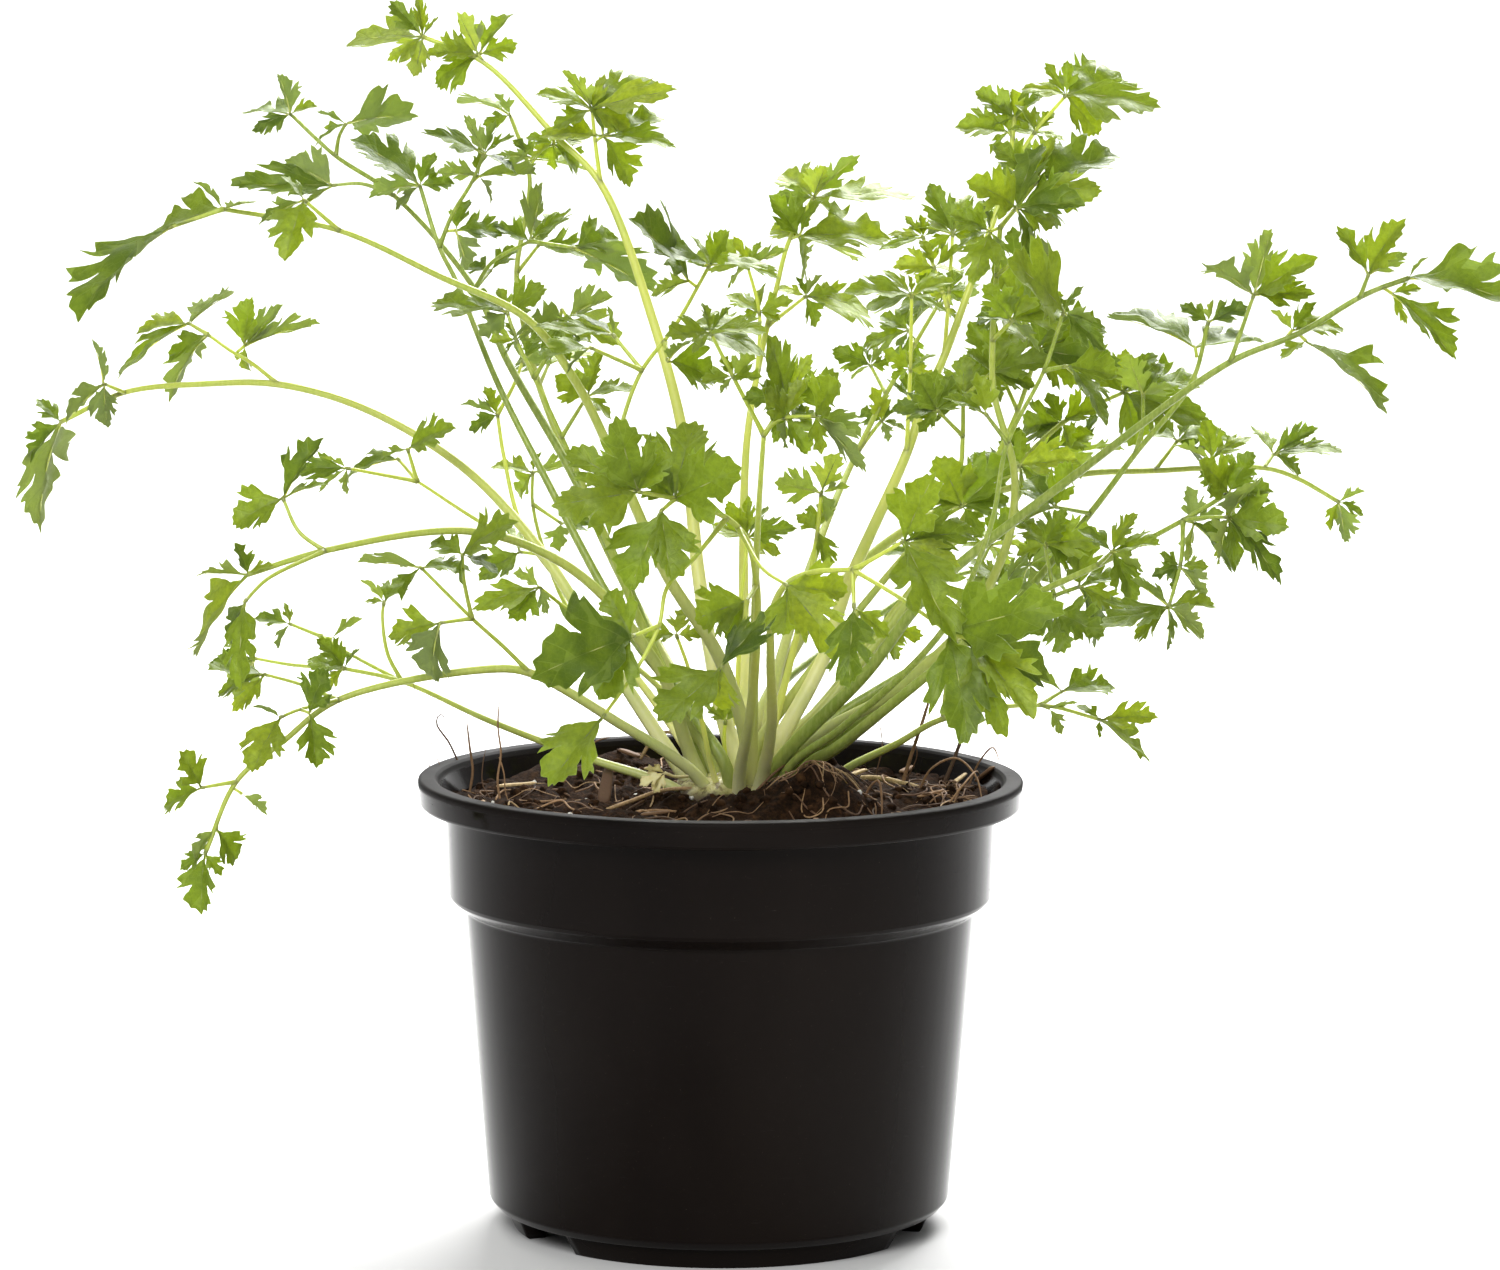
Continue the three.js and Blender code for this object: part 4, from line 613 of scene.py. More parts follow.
def sheet(spots, edges, loops, holes=(), hole_radius=0):
    """Flat points, the anticlockwise triangles inside loops and outside round holes, and their rim"""
    made, _, faces, *_ = geometry.delaunay_2d_cdt([Vector(p) for p in spots], edges, loops, 1, 1e-4)
    flat = np.array([(p.x, p.y) for p in made])
    tris = np.array([f for f in faces if len(f) == 3], int)
    for hole in holes:
        tris = tris[np.linalg.norm(flat[tris].mean(axis=1) - hole, axis=1) > hole_radius]
    a, b, c = (flat[tris[:, k]] for k in range(3))
    turned = (b[:, 0] - a[:, 0]) * (c[:, 1] - a[:, 1]) - (b[:, 1] - a[:, 1]) * (c[:, 0] - a[:, 0]) < 0
    tris[turned] = tris[turned][:, ::-1]
    used, tris = np.unique(tris, return_inverse=True)
    tris = tris.reshape(-1, 3)
    sides = {(tri[i], tri[(i + 1) % 3]): None for tri in tris for i in range(3)}
    return flat[used], tris, np.array([side for side in sides if side[::-1] not in sides])


def outline(right, left, size, step):
    """The closed outline of a leaflet with its teeth rounded off"""
    marks = [("e", 0, -0.012 * size)] + [(c, u, -v) for c, u, v in right] + [("t", size, 0.0)]
    marks += [(c, u, v) for c, u, v in reversed(left)] + [("e", 0, 0.012 * size)]
    round_off = 0.03 * size + 0.15
    spots = []
    for i, (c, u, v) in enumerate(marks):
        here = np.array([u, v])
        if c == "e":
            spots.append(here)
            continue
        ahead = unit(np.array(marks[i + 1][1:]) - here)
        behind = unit(np.array(marks[i - 1][1:]) - here)
        share = round_off if c == "t" else round_off * 0.6
        spots += [here + behind * share, here + (behind + ahead) * share * 0.18, here + ahead * share]
    return np.array([p for a, b in zip(spots, spots[1:] + spots[:1]) for p in edge(a, b, step * 0.8, 0.10)])


def veins_of(right, left, size, half):
    """The rib, a vein into each side lobe, and one into each tooth"""
    veins = [[np.array([u * size, 0.0]) for u in np.linspace(0.0, 0.97, 12)]]
    for sign, side in ((-1, right), (1, left)):
        tips = [np.array([u, sign * v]) for c, u, v in side if c == "t"]
        outer = [tip for tip in tips if tip[0] < 0.83 * size and abs(tip[1]) > 0.56 * half]
        roots = []
        if outer:
            goal = outer[len(outer) // 2]
            if len(outer) < 3:
                goal = max(outer, key=lambda tip: tip[0] + abs(tip[1]))
            start = np.array([0.07 * size, 0.0])
            bend = np.array([0.36 * goal[0] + 0.04 * size, 0.31 * goal[1]])
            main = [bent(start, bend, start + (goal - start) * 0.95, t) for t in np.linspace(0, 1, 8)]
            veins.append(main)
            roots = [(main[3] if tip[0] < goal[0] else main[5], tip) for tip in outer if tip is not goal]
        roots += [(np.array([max(tip[0] - 0.26 * size, 0.3 * size), 0.0]), tip)
                  for tip in tips if not any(tip is other for other in outer)]
        veins += [[root + (tip - root) * t for t in (0, 0.33, 0.66, 0.92)] for root, tip in roots]
    return veins


def blade_pattern(kinds, size, step):
    """A flat leaflet of a length in mm: its points, triangles, vein and margin distances, and its rim"""
    half = size * BLADE_WIDTH / 2
    sides = []
    for kind in kinds.split():
        shift = rng.normal(0, 0.018, (len(HALVES[kind]), 2))
        sides.append([(c, (u + du) * size, max(v + 1.6 * dv, 0.02) * half)
                      for (c, u, v), (du, dv) in zip(HALVES[kind], shift)])
    loop = outline(*sides, size, step)
    veins = veins_of(*sides, size, half)
    vein_segments = [pair for vein in veins for pair in zip(vein, vein[1:])]
    rim_segments = list(zip(loop, np.roll(loop, -1, axis=0)))
    rows = np.arange(-half * 1.1, half * 1.1, step * 0.87)
    columns = np.arange(0, size, step)
    grid = np.array([(x + (k % 2) * step / 2, y) for k, y in enumerate(rows) for x in columns])
    grid += rng.normal(0, 0.04 * step, grid.shape)
    keep = inside(grid, loop)
    for segments in (rim_segments, vein_segments):
        keep &= distance_to(grid, segments) > 0.45 * step
    spots, edges = list(loop), []
    for vein in veins:
        vein = np.array(vein)
        vein = vein[inside(vein, loop) & (distance_to(vein, rim_segments) > 0.12)]
        edges += [(len(spots) + i, len(spots) + i + 1) for i in range(len(vein) - 1)]
        spots += list(vein)
    flat, tris, rim = sheet(spots + list(grid[keep]), edges, [list(range(len(loop)))])
    return {
        "flat": flat / [size, half], "tris": tris, "rim": rim, "size": size,
        "vein": distance_to(flat, vein_segments), "margin": distance_to(flat, rim_segments)}


# Patterns of leaflets by size, as the halves on either side of the rib; broad ones, then cut ones
PATTERNS = (
    ("small", 10.5, 1.05, ("small small, slim small, small slim, slim slim",) * 2),
    ("large", 27, 1.25, ("fan wide, wide lobed, wide wide, lobed fan, lobed lobed, lobed wide",
                         "lobed lobed, lobed cut, cut cut, slim lobed, cut lobed, lobed slim")),
    ("middle", 17, 1.15, ("fan lobed, wide lobed, lobed wide, lobed lobed",
                          "lobed lobed, cut lobed, slim cut, cut cut, slim slim")),
)


def patterns():
    return {(kind, style): [blade_pattern(pair, size, step) for pair in pairs.split(",")]
            for kind, size, step, both in PATTERNS for style, pairs in zip(("broad", "cut"), both)}


def quads(a, b, c, d):
    """Two triangles between each four corners"""
    return np.concatenate([np.stack([a, b, c], -1).reshape(-1, 3), np.stack([a, c, d], -1).reshape(-1, 3)])


def fan(middle, a, b):
    """Triangles from a middle point to the edges from a to b"""
    return np.stack([np.full(len(a), middle), a, b], -1)


def net(rows, columns):
    """The corners of the squares between rows of points that close round"""
    i, k = np.meshgrid(np.arange(rows - 1), np.arange(columns), indexing="ij")
    a, b = i * columns + k, i * columns + (k + 1) % columns
    return a, b, b + columns, a + columns


class Build:
    """Collects triangles, in mm, with the values that the materials read"""

    VALUES = ("tint", "vein", "margin", "under", "along", "turn")

    def __init__(self):
        self.points, self.tris, self.slots, self.sharp = [], [], [], []
        self.values = {name: [] for name in self.VALUES}
        self.count = 0

    def add(self, points, tris, slot=0, sharp=(), **values):
        points = np.asarray(points, float)
        self.points.append(points)
        self.tris.append(np.asarray(tris, int) + self.count)
        self.slots.append(np.full(len(tris), slot))
        if len(sharp):
            self.sharp.append(np.asarray(sharp, int) + self.count)
        for name in self.VALUES:
            value = np.asarray(values.get(name, 0.0), float)
            self.values[name].append(np.broadcast_to(value, (len(points),)))
        self.count += len(points)

    def plate(self, top, low, tris, rim, slot=0, **values):
        """A thin closed plate between two sheets of points, with sharp rims"""
        count = len(top)
        a, b = rim.T
        self.add(np.concatenate([top, low]),
                 np.concatenate([tris, tris[:, ::-1] + count, quads(b, a, a + count, b + count)]),
                 slot, np.concatenate([rim, rim + count]), **values)

    def object(self, name, *materials):
        points, tris = np.concatenate(self.points) * MM, np.concatenate(self.tris)
        mesh = bpy.data.meshes.new(name)
        mesh.from_pydata(points.tolist(), [], tris.tolist())
        mesh.polygons.foreach_set("material_index", np.concatenate(self.slots).astype(np.int32))
        mesh.polygons.foreach_set("use_smooth", np.ones(len(tris), bool))
        for key in self.VALUES:
            attribute = mesh.attributes.new(key, "FLOAT", "POINT")
            attribute.data.foreach_set("value", np.concatenate(self.values[key]).astype(np.float32))
        if self.sharp:
            pairs = np.sort(np.concatenate(self.sharp), axis=1)
            ends = np.zeros(len(mesh.edges) * 2, np.int32)
            mesh.edges.foreach_get("vertices", ends)
            ends = np.sort(ends.reshape(-1, 2).astype(np.int64), axis=1)
            keys, sharp = (ab[:, 0] * len(points) + ab[:, 1] for ab in (ends, pairs))
            attribute = mesh.attributes.new("sharp_edge", "BOOLEAN", "EDGE")
            attribute.data.foreach_set("value", np.isin(keys, sharp))
        mesh.validate()
        for material in materials:
            mesh.materials.append(material)
        return linked(name, mesh)


def linked(name, data):
    made = bpy.data.objects.new(name, data)
    bpy.context.scene.collection.objects.link(made)
    return made


def tube(build, path, radii, sides, slot=0, ridge=0.0, **values):
    """A round rod along a path, closed at both ends; a ridged one has every other side raised"""
    path = np.asarray(path, float)
    count = len(path)
    tangents = np.gradient(path, axis=0)
    tangents /= np.maximum(np.linalg.norm(tangents, axis=1), 1e-9)[:, None]
    normal = np.array([0.0, 1.0, 0.0]) if abs(tangents[0][1]) < 0.9 else np.array([1.0, 0.0, 0.0])
    ks = np.arange(sides)
    angles = (ks / sides * WHOLE)[:, None]
    swell = 1 + ridge * np.where(ks % 2, -1, 1)
    points = []
    for middle, tangent, radius in zip(path, tangents, radii):
        normal = unit(normal - tangent * (normal @ tangent))
        ring = np.cos(angles) * normal + np.sin(angles) * np.cross(tangent, normal)
        points.append(middle + ring * (radius * swell)[:, None])
    points += [[path[0] - tangents[0] * radii[0] * 0.4], [path[-1] + tangents[-1] * radii[-1] * 0.5]]
    lid, ns = (count - 1) * sides, (ks + 1) % sides
    tris = [quads(*net(count, sides)), fan(count * sides, ns, ks), fan(count * sides + 1, lid + ks, lid + ns)]
    spread = {key: np.concatenate([np.repeat(value, sides), [value[0], value[-1]]]) if np.ndim(value) else value
              for key, value in values.items()}
    build.add(np.concatenate(points), np.concatenate(tris), slot, **spread)


LEAF, STALK = 0, 1


def leaflet_on(build, hub, leaflet, before, after, shapes, style, tone):
    """One lobed leaflet: a pattern laid on its axis, folded, arched and waved, as a thin closed blade"""
    axis, normal = leaflet["axis"], leaflet["normal"]
    length = leaflet["span"] / hypot(axis[0], axis[2])
    kind = "large" if length >= LARGE else "middle" if length >= MIDDLE else "small"
    choice = shapes[kind, "broad" if style == "broad" else "cut"]
    pattern = choice[int(rng.integers(len(choice)))]
    # Leaflets lean up to the light; some bend over and show their underside
    lean, spread, undersides, width = STYLES[style]
    front, upward = faces_of(axis)
    turn = atan2(normal @ upward, normal @ front) + radians(rng.normal(lean, spread))
    if kind == "large" and style in ("cut", "leaning", "slight"):
        turn = max(turn, EDGEWAYS if style == "leaning" and length > LONG else SLANT)
    turn = min(turn, STEEPEST)
    if rng.uniform() < undersides:
        before, after = after, before
        front = -front
    normal = front * cos(turn) + upward * sin(turn)
    side = np.cross(normal, axis)
    # Each half is as wide as its neighbours on the spray leave room for
    u, share = pattern["flat"].T
    half = length * BLADE_WIDTH / 2 * width
    v = share.copy()
    for sign, free in ((-1, before), (1, after)):
        slope = tan(min(free / 2, 1.3))
        reach = min(half, max(length * slope * 0.85, half * 0.5))
        v = np.where(np.sign(share) == sign, share * reach, v)
    scale = length / pattern["size"]
    vein, margin = pattern["vein"] * scale, pattern["margin"] * scale
    fold = BLADE_FOLD * rng.uniform(0.6, 2.2)
    arch = BLADE_ARCH * rng.uniform(0.6, 1.7)
    phase = rng.uniform(0, 6.28, 3)
    out = np.abs(v) / half
    lobes = LOBE_RISE * length * np.sin(out * 5.2 + phase[0]) * np.clip(out, 0, 1)
    waves = WAVE_RISE * length * np.sin(7.5 * u + phase[1]) * (v / half)
    waves += RIPPLE_RISE * length * np.sin(15 * u + 3 * v / half + phase[2])
    waves *= np.clip(2.2 * u, 0, 1)
    quilt = QUILT_RISE * np.minimum(vein, 1.3) * np.clip(margin / 0.8, 0, 1)
    droop = -arch * length * u ** 2
    droop -= TIP_FALL * length * np.clip(u - 0.7, 0, 1) ** 2 * rng.uniform(0, 3)
    rise = fold * np.abs(v) + droop + lobes + waves + quilt
    sway = rng.normal(0, 0.05) * length * u ** 2
    base = hub + axis * 0.3
    thick = BLADE_THICKNESS * np.clip(0.45 + margin / 0.5, 0.45, 1)
    top = base + (u * length)[:, None] * axis + (v + sway)[:, None] * side
    top += (rise + thick / 2)[:, None] * normal
    tint = rng.uniform(0, 1)
    build.plate(
        top, top - thick[:, None] * normal, pattern["tris"], pattern["rim"], LEAF,
        tint=tint, vein=np.tile(vein, 2), margin=np.tile(margin, 2),
        under=np.repeat([0.0, 1.0], len(top)), along=tone, turn=rng.uniform(0, 1))
    if kind == "small":
        return
    # The rib stands out below the blade and fades out before its tip
    us = np.linspace(0, RIB_END, 9)
    rib_rise = -arch * length * us ** 2 - BLADE_THICKNESS * 0.5
    sway_at = np.interp(us, np.sort(u), sway[np.argsort(u)])
    path = base + (us * length)[:, None] * axis + sway_at[:, None] * side + rib_rise[:, None] * normal
    radii = np.interp(us, [0, 0.15, RIB_END], [0.45, 0.3, 0.1])
    tube(build, path, radii, RIB_SIDES, STALK, along=0.75 + 0.2 * us, tint=tint)


def spray_on(build, spray, shapes, style, tone):
    """A spray's leaflets round its hub, and the short stem that carries it"""
    hub, back = spray["hub"], spray["back"]
    turned = [(stem_of(spray), None)] + [(leaf["direction"] % WHOLE, leaf) for leaf in spray["leaflets"]]
    turned.sort(key=lambda item: item[0])
    for i, (direction, leaf) in enumerate(turned):
        if leaf is not None:
            before = (direction - turned[i - 1][0]) % WHOLE or WHOLE
            after = (turned[(i + 1) % len(turned)][0] - direction) % WHOLE or WHOLE
            leaflet_on(build, hub, leaf, before, after, shapes, style, tone)
    if spray["reach"] > STEM_LENGTH:
        start, end, radii, along = hub + back * spray["reach"], hub, [0.6, 0.5, 0.5, 0.55], 0.85
    else:
        start, end, radii, along = hub + back * 1.2, hub - back * 0.5, [0.6, 0.66, 0.62, 0.4], 0.9
    tube(build, np.linspace(start, end, 4), radii, STEM_SIDES, STALK, along=along, tint=0.5)


def frond_object(plant, shapes, materials):
    """A plant's stalk, whose foot comes out of the middle of the crown, with its twigs and sprays"""
    build = Build()
    first = plant["stalk"][0]
    foot = CROWN_MIDDLE + (first - CROWN_MIDDLE) * FOOT_SHARE
    foot[2] = min(FOOT_LEVEL, first[2] - 6)
    stalk = smooth([foot] + plant["stalk"], STALK_STEP)
    run = run_of(stalk)
    share = run / run[-1]
    thick, thin = plant["foot"] * 0.92, plant["tip"] * 0.66
    radii = (thin + (thick - thin) * (1 - share) ** 1.25) / 2
    if not plant["name"].startswith("shoot"):
        radii = radii * (1 + FOOT_SWELL * np.exp(-run / FOOT_SWELL_REACH))
    tube(build, stalk, radii, STALK_SIDES, STALK, 0.035, along=share, tint=plant["green"])
    for twig in plant["twigs"]:
        path = smooth(twig, TWIG_STEP)
        run = np.linspace(0, 1, len(path))
        start = np.argmin(np.linalg.norm(stalk - path[0], axis=1)) / max(len(share) - 1, 1)
        radii = np.interp(run, [0, 0.12, 1], [0.95, 0.72, 0.52])
        along = start + (1 - start) * (0.3 + 0.7 * run)
        tube(build, path, radii, TWIG_SIDES, STALK, 0.03, along=along, tint=plant["green"])
    for spray in plant["sprays"]:
        spray_on(build, spray, shapes, plant["style"], plant["tone"])
    return build.object(plant["name"] + "_fine", *materials)


# Pot sizes in mm
RIM_TOP = 142.5
RIM_RADIUS = 95
RIM_INNER_RADIUS = 88.8
BAND_BOTTOM = 134.1
WALL = 1.6
SHOULDER_TOP_RADIUS = 86.5
SHOULDER_RADIUS = 85.3
LEDGE_TOP = 106
LEDGE_BOTTOM = 101.2
BODY_TOP_RADIUS = 80
BODY_BOTTOM_RADIUS = 72.5
BODY_BOTTOM = 9.5
BASE_RADIUS = 70
FLOOR_BOTTOM = 6.7
FLOOR_TOP = 8.7
FOOT_TOP_RADIUS = 68
FOOT_BOTTOM_RADIUS = 64.8
FOOT_WIDTH = 6
FOOT_ARCS = ((-134, -34), (-14, 86), (106, 206))
FOOT_STEPS = 40
DRAIN_RING_RADIUS = 50
DRAIN_RADIUS = 5
POT_SECTORS = 144


def rounded(profile):
    """A closed profile of (radius, height, corner radius) with its corners rounded off"""
    out = []
    for i, (r, z, corner) in enumerate(profile):
        here = np.array([r, z], float)
        if corner <= 0:
            out.append(here)
            continue
        behind = unit(np.array(profile[i - 1][:2]) - here)
        ahead = unit(np.array(profile[(i + 1) % len(profile)][:2]) - here)
        reach = corner / tan(acos(np.clip(behind @ ahead, -1, 1)) / 2)
        shares = np.linspace(0, 1, 6 if corner > 0.5 else 4)
        out += [bent(here + behind * reach, here, here + ahead * reach, t) for t in shares]
    return np.array(out)


def circle(radius, count, middle=(0, 0), turn=WHOLE):
    angles = np.linspace(0, turn, count + 1)[:-1]
    return np.stack([middle[0] + radius * np.cos(angles), middle[1] + radius * np.sin(angles)], -1)


def pot_object(material):
    """The pot: a turned wall with its folded rim, band and ledge, a floor with drain holes, and three feet"""
    profile = rounded([
        (BASE_RADIUS - 6, FLOOR_BOTTOM, 0), (BASE_RADIUS, FLOOR_BOTTOM, 1.6),
        (BODY_BOTTOM_RADIUS, BODY_BOTTOM, 2.0), (BODY_TOP_RADIUS, LEDGE_BOTTOM, 1.8),
        (SHOULDER_RADIUS - 0.6, LEDGE_TOP - 1.2, 0.9), (SHOULDER_RADIUS, LEDGE_TOP, 0.5),
        (SHOULDER_TOP_RADIUS, BAND_BOTTOM, 0.5), (RIM_RADIUS - 1.0, BAND_BOTTOM, 0.5),
        (RIM_RADIUS - 0.5, BAND_BOTTOM + 0.9, 0.4), (RIM_RADIUS, RIM_TOP, 1.3),
        (RIM_INNER_RADIUS + 0.9, RIM_TOP, 0.5), (RIM_INNER_RADIUS, RIM_TOP - 0.8, 0.5),
        (SHOULDER_TOP_RADIUS - WALL, BAND_BOTTOM, 1.0), (SHOULDER_RADIUS - WALL, LEDGE_TOP + 0.5, 0.8),
        (BODY_TOP_RADIUS - WALL, LEDGE_BOTTOM + 0.5, 0.8), (BODY_BOTTOM_RADIUS - WALL, FLOOR_TOP + 1, 1.0),
        (BASE_RADIUS - 6, FLOOR_TOP, 0)])
    build = Build()
    count = len(profile)
    points = [np.column_stack([np.outer(profile[:, 0], way), profile[:, 1]]) for way in circle(1, POT_SECTORS)]
    a, b, c, d = (corner % (POT_SECTORS * count) for corner in net(POT_SECTORS + 1, count))
    build.add(np.concatenate(points), quads(a, d, c, b))
    # The floor is as wide as the turned wall reaches inwards
    drains = circle(DRAIN_RING_RADIUS, 4)
    rings = [circle(BASE_RADIUS - 5.5, 96)] + [circle(DRAIN_RADIUS, 24, drain, -WHOLE) for drain in drains]
    spots = np.concatenate(rings)
    starts = np.cumsum([0] + [len(ring) for ring in rings])
    loops = [list(range(start, end)) for start, end in zip(starts, starts[1:])]
    loops[1:] = [loop[::-1] for loop in loops[1:]]
    flat, tris, rim = sheet(spots, [], loops, drains, DRAIN_RADIUS * 0.97)
    top, low = (np.column_stack([flat, np.full(len(flat), z)]) for z in (FLOOR_TOP, FLOOR_BOTTOM))
    build.plate(top, low, tris, rim)
    for start, end in FOOT_ARCS:
        foot_ridge(build, start, end)
    return build.object("nursery_pot", material)


def foot_ridge(build, start, end):
    """One arc-shaped foot with rounded lower edges, tapering towards the ground"""
    section = rounded([
        (FOOT_TOP_RADIUS, FLOOR_BOTTOM + 0.8, 0), (FOOT_TOP_RADIUS, FLOOR_BOTTOM, 0),
        (FOOT_BOTTOM_RADIUS, 0, 0.7), (FOOT_BOTTOM_RADIUS - FOOT_WIDTH, 0, 0.7),
        (FOOT_TOP_RADIUS - FOOT_WIDTH, FLOOR_BOTTOM, 0), (FOOT_TOP_RADIUS - FOOT_WIDTH, FLOOR_BOTTOM + 0.8, 0)])
    count = len(section)
    taper = (1 - section[:, 1] / FLOOR_BOTTOM) * 1.6
    points = []
    for share in np.linspace(0, 1, FOOT_STEPS + 1):
        angle = np.radians(start + taper + (end - start - 2 * taper) * share)
        reach, height = section.T
        points.append(np.stack([reach * np.cos(angle), reach * np.sin(angle), height], -1))
    ks, last = np.arange(1, count - 1), FOOT_STEPS * count
    build.add(np.concatenate(points), np.concatenate([
        quads(*net(FOOT_STEPS + 1, count)), fan(0, ks + 1, ks), fan(last, last + ks, last + ks + 1)]))


# The soil in mm: its heaps are x, y, radius and height
SOIL_LEVEL = 134
SOIL_ROUGHNESS = 1.1
SOIL_GAP = 0.35
SOIL_SECTORS = 260
SOIL_RINGS = 92
SOIL_REACH = 81
CRUMB_REACH = 82.5
FIBRE_REACH = 83
CRUMBS = 620
FIBRES = 150
TANGLED_FIBRES = 70
PERLITE_GRAINS = 12
SOIL_HEAPS = ((34, 8, 17, 13), (-32, 66, 30, 4.5), (74, 14, 18, 4), (-62, -22, 22, 1.5),
              (15, -28, 16, 10), (33, -26, 16, 14), (-1, -29, 11, 5.5), (-15, -14, 12, 4))


def soil_top(x, y):
    """The level of the soil's surface with its heaps and crumbs"""
    rough = sin(x * 0.21 + y * 0.13) + sin(y * 0.27 - x * 0.09) + sin((x - y) * 0.37) * 0.6
    heaps = sum(h * exp(-((x - hx) ** 2 + (y - hy) ** 2) / (0.5 * r * r)) for hx, hy, r, h in SOIL_HEAPS)
    crumbs = sum(h * noise.noise(Vector((x, y, 0)) / size) for h, size in ((1.1, 7), (0.9, 3.1), (0.7, 1.4)))
    return SOIL_LEVEL + rough * SOIL_ROUGHNESS + heaps + crumbs


def soil_object(material):
    """The soil: its rough surface in rings from the edge inwards, then rings down the pot's wall"""
    wall = [(SHOULDER_TOP_RADIUS, BAND_BOTTOM - 3), (SHOULDER_RADIUS, LEDGE_TOP + 0.5),
            (BODY_TOP_RADIUS, LEDGE_BOTTOM + 0.5), (BODY_BOTTOM_RADIUS, FLOOR_TOP)]
    edge_radius = SHOULDER_TOP_RADIUS - WALL - SOIL_GAP
    radii = edge_radius * np.arange(SOIL_RINGS, 0, -1) / SOIL_RINGS
    points = [(x, y, soil_top(x, y)) for radius in radii for x, y in circle(radius, SOIL_SECTORS)]
    top_middle = len(points)
    points.append((0, 0, soil_top(0, 0)))
    for radius, z in wall:
        points += [(x, y, z + SOIL_GAP) for x, y in circle(radius - WALL - SOIL_GAP, SOIL_SECTORS)]
    points.append((0, 0, FLOOR_TOP + SOIL_GAP))
    k = np.arange(SOIL_SECTORS)
    n = (k + 1) % SOIL_SECTORS
    inner = (SOIL_RINGS - 1) * SOIL_SECTORS
    tris = [quads(*net(SOIL_RINGS, SOIL_SECTORS)), fan(top_middle, inner + k, inner + n)]
    levels = [0] + [top_middle + 1 + i * SOIL_SECTORS for i in range(len(wall))]
    tris += [quads(above + k, below + k, below + n, above + n) for above, below in zip(levels, levels[1:])]
    tris.append(fan(len(points) - 1, levels[-1] + n, levels[-1] + k))
    build = Build()
    build.add(points, np.concatenate(tris), tint=0.2)
    for i in range(CRUMBS):
        x, y = on_soil(CRUMB_REACH)
        size = rng.uniform(0.6, 1.9) * (1.35 if hypot(x - 34, y - 8) < 20 else 1)
        lump(build, (x, y), 0.15, size, i * 0.37, rng.uniform(0, 1) ** 2, 0.75)
    return build.object("peat_soil", material)


def ball():
    """A ball of 42 points"""
    bm = bmesh.new()
    bmesh.ops.create_icosphere(bm, subdivisions=2, radius=1)
    bm.verts.ensure_lookup_table()
    points = np.array([v.co[:] for v in bm.verts])
    tris = np.array([[v.index for v in f.verts] for f in bm.faces])
    bm.free()
    return points, tris


BALL = ball()


def lump(build, spot, lift, size, seed, tint, flat):
    """A small knobbly grain on the soil"""
    middle = np.array([*spot, soil_top(*spot) + size * lift])
    shaped = [p * (1 + 0.45 * noise.noise(Vector(p) * 1.7 + Vector((seed, 2.3 * seed, 0.7 * seed)))) * size
              * np.array([1, 1, flat]) for p in BALL[0]]
    turn = np.array(Matrix.Rotation(seed * 1.7, 3, Vector((0.3, 0.5, 1)).normalized()))
    build.add(np.array(shaped) @ turn.T + middle, BALL[1], tint=tint)


def on_soil(reach=SOIL_REACH):
    """A random place on the soil beside the crown"""
    while True:
        x, y = rng.uniform(-reach, reach, 2)
        off = (np.array([x, y]) - CROWN_MIDDLE[:2]) / CROWN_HALF_SIZE[:2]
        if hypot(x, y) < reach and off @ off > 0.9:
            return x, y


def fibre(build, points, width, tint, sides=5):
    path = smooth(points, 1.5 if width < 1 else 2.0)
    radii = width / 2 * np.interp(np.linspace(0, 1, len(path)), [0, 0.1, 0.8, 1], [0.8, 1, 0.8, 0.35])
    tube(build, path, radii, sides, tint=tint)


def crawling(x, y, length, lift):
    """A fibre that crawls over the soil in a random wavy line"""
    heading = rng.uniform(0, WHOLE)
    curl = rng.normal(0, 0.35)
    points = []
    count = max(int(length / 4), 3)
    step = length / count
    for i in range(count + 1):
        points.append((x, y, soil_top(x, y) + 0.25 + lift * sin(pi * i / count)))
        heading += curl + rng.normal(0, 0.45)
        if hypot(x + step * cos(heading), y + step * sin(heading)) > FIBRE_REACH:
            heading += 2.4
        x, y = x + step * cos(heading), y + step * sin(heading)
    return points


